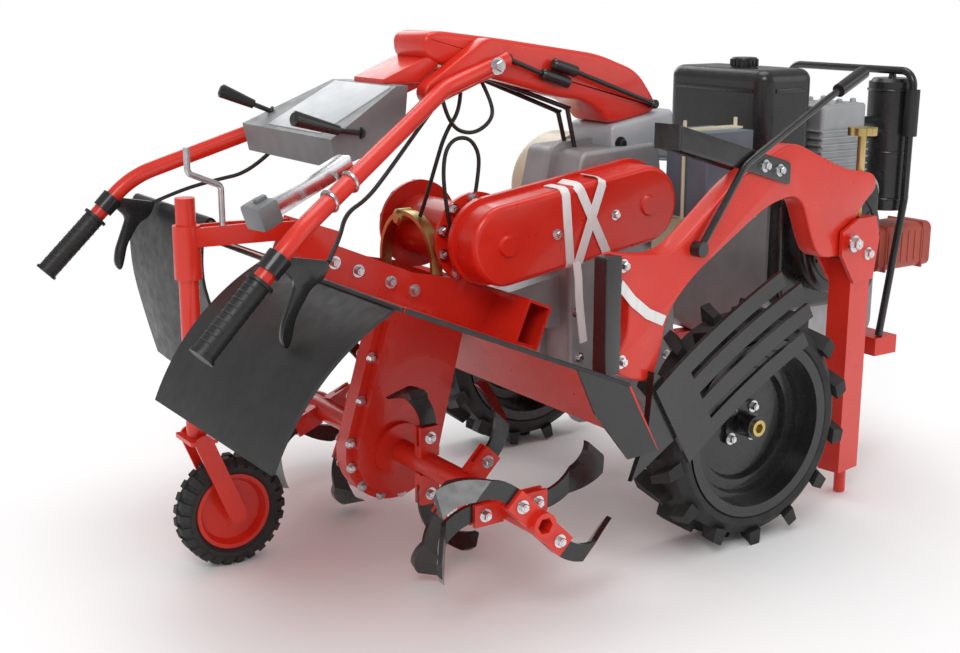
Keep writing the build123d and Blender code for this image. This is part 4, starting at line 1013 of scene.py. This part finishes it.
floor_fade.inputs["From Max"].default_value = FADE_TO
floor_rays = floor_tree.nodes.new("ShaderNodeLightPath")
floor_seen = floor_tree.nodes.new("ShaderNodeMath")
floor_seen.operation = "MULTIPLY"
for source, target in (
    (floor_place.outputs["Position"], floor_reach.inputs[0]),
    (floor_reach.outputs["Value"], floor_fade.inputs["Value"]),
    (floor_fade.outputs["Result"], floor_seen.inputs[0]),
    (floor_rays.outputs["Is Camera Ray"], floor_seen.inputs[1]),
    (floor_seen.outputs["Value"], floor_mix.inputs["Fac"]),
    (floor_bsdf.outputs["BSDF"], floor_mix.inputs[1]),
    (floor_far.outputs["Emission"], floor_mix.inputs[2]),
    (floor_mix.outputs["Shader"], floor_tree.nodes["Material Output"].inputs["Surface"]),
):
    floor_tree.links.new(source, target)
bpy.ops.mesh.primitive_plane_add(size=FLOOR_SIZE, location=(0, 0, 0))
floor = bpy.context.object
floor.name = "studio_floor"
floor.data.materials.append(floor_mat)

# The photograph's camera, fitted to it
AZ, EL = math.radians(33.8433), math.radians(13.7592)
FOCAL_PX, PHOTO_W_PX = 1384.27, 960
SENSOR_MM = 36
CAMERA_AT = (AXLE_X - 1.9713, -2.3687, 1.1230)
back = Vector((-math.sin(AZ) * math.cos(EL), -math.cos(AZ) * math.cos(EL), math.sin(EL)))
right = Vector((math.cos(AZ), -math.sin(AZ), 0))
cam_data = bpy.data.cameras.new("camera")
cam_data.sensor_width = SENSOR_MM
cam_data.lens = FOCAL_PX * SENSOR_MM / PHOTO_W_PX
cam_data.clip_end = 200
cam = bpy.data.objects.new("camera", cam_data)
cam_turn = Matrix((right, back.cross(right), back)).transposed().to_4x4()
cam.matrix_world = Matrix.Translation(CAMERA_AT) @ cam_turn
bpy.context.scene.collection.objects.link(cam)
bpy.context.scene.camera = cam

# Soft lamps round the object
AIM = Vector((0, 0, 0.5))
for name, spot, size, power in (
    ("key", (-3.0, -3.2, 4.2), 2.6, 85),
    ("fill", (3.2, -3.4, 2.2), 3.0, 22),
    ("top", (0.3, 0.4, 4.6), 3.0, 55),
    ("rim", (1.0, 4.0, 3.0), 3.0, 40),
):
    data = bpy.data.lights.new(name, "AREA")
    data.shape = "DISK"
    data.size = size
    data.energy = power
    lamp = bpy.data.objects.new(name, data)
    lamp.location = spot
    lamp.rotation_euler = (AIM - Vector(spot)).to_track_quat("-Z", "Y").to_euler()
    bpy.context.scene.collection.objects.link(lamp)

# The world lights the object plainly, is white behind it and dimmer where shiny faces mirror it
WORLD_LIGHT, WORLD_SEEN, WORLD_GLOSS = 0.7, 1.0, 0.4
world = bpy.data.worlds.new("studio")
bpy.context.scene.world = world
world.use_nodes = True
world_tree = world.node_tree
background = world_tree.nodes["Background"]
background.inputs["Color"].default_value = (1, 1, 1, 1)
rays = world_tree.nodes.new("ShaderNodeLightPath")
strength = None
for ray, light in (("Is Camera Ray", WORLD_SEEN), ("Is Glossy Ray", WORLD_GLOSS)):
    step = world_tree.nodes.new("ShaderNodeMath")
    step.operation = "MULTIPLY_ADD"
    world_tree.links.new(rays.outputs[ray], step.inputs[0])
    step.inputs[1].default_value = light - WORLD_LIGHT
    step.inputs[2].default_value = WORLD_LIGHT
    if strength:
        world_tree.links.new(strength, step.inputs[2])
    strength = step.outputs["Value"]
world_tree.links.new(strength, background.inputs["Strength"])
bpy.context.scene.view_settings.view_transform = "Standard"
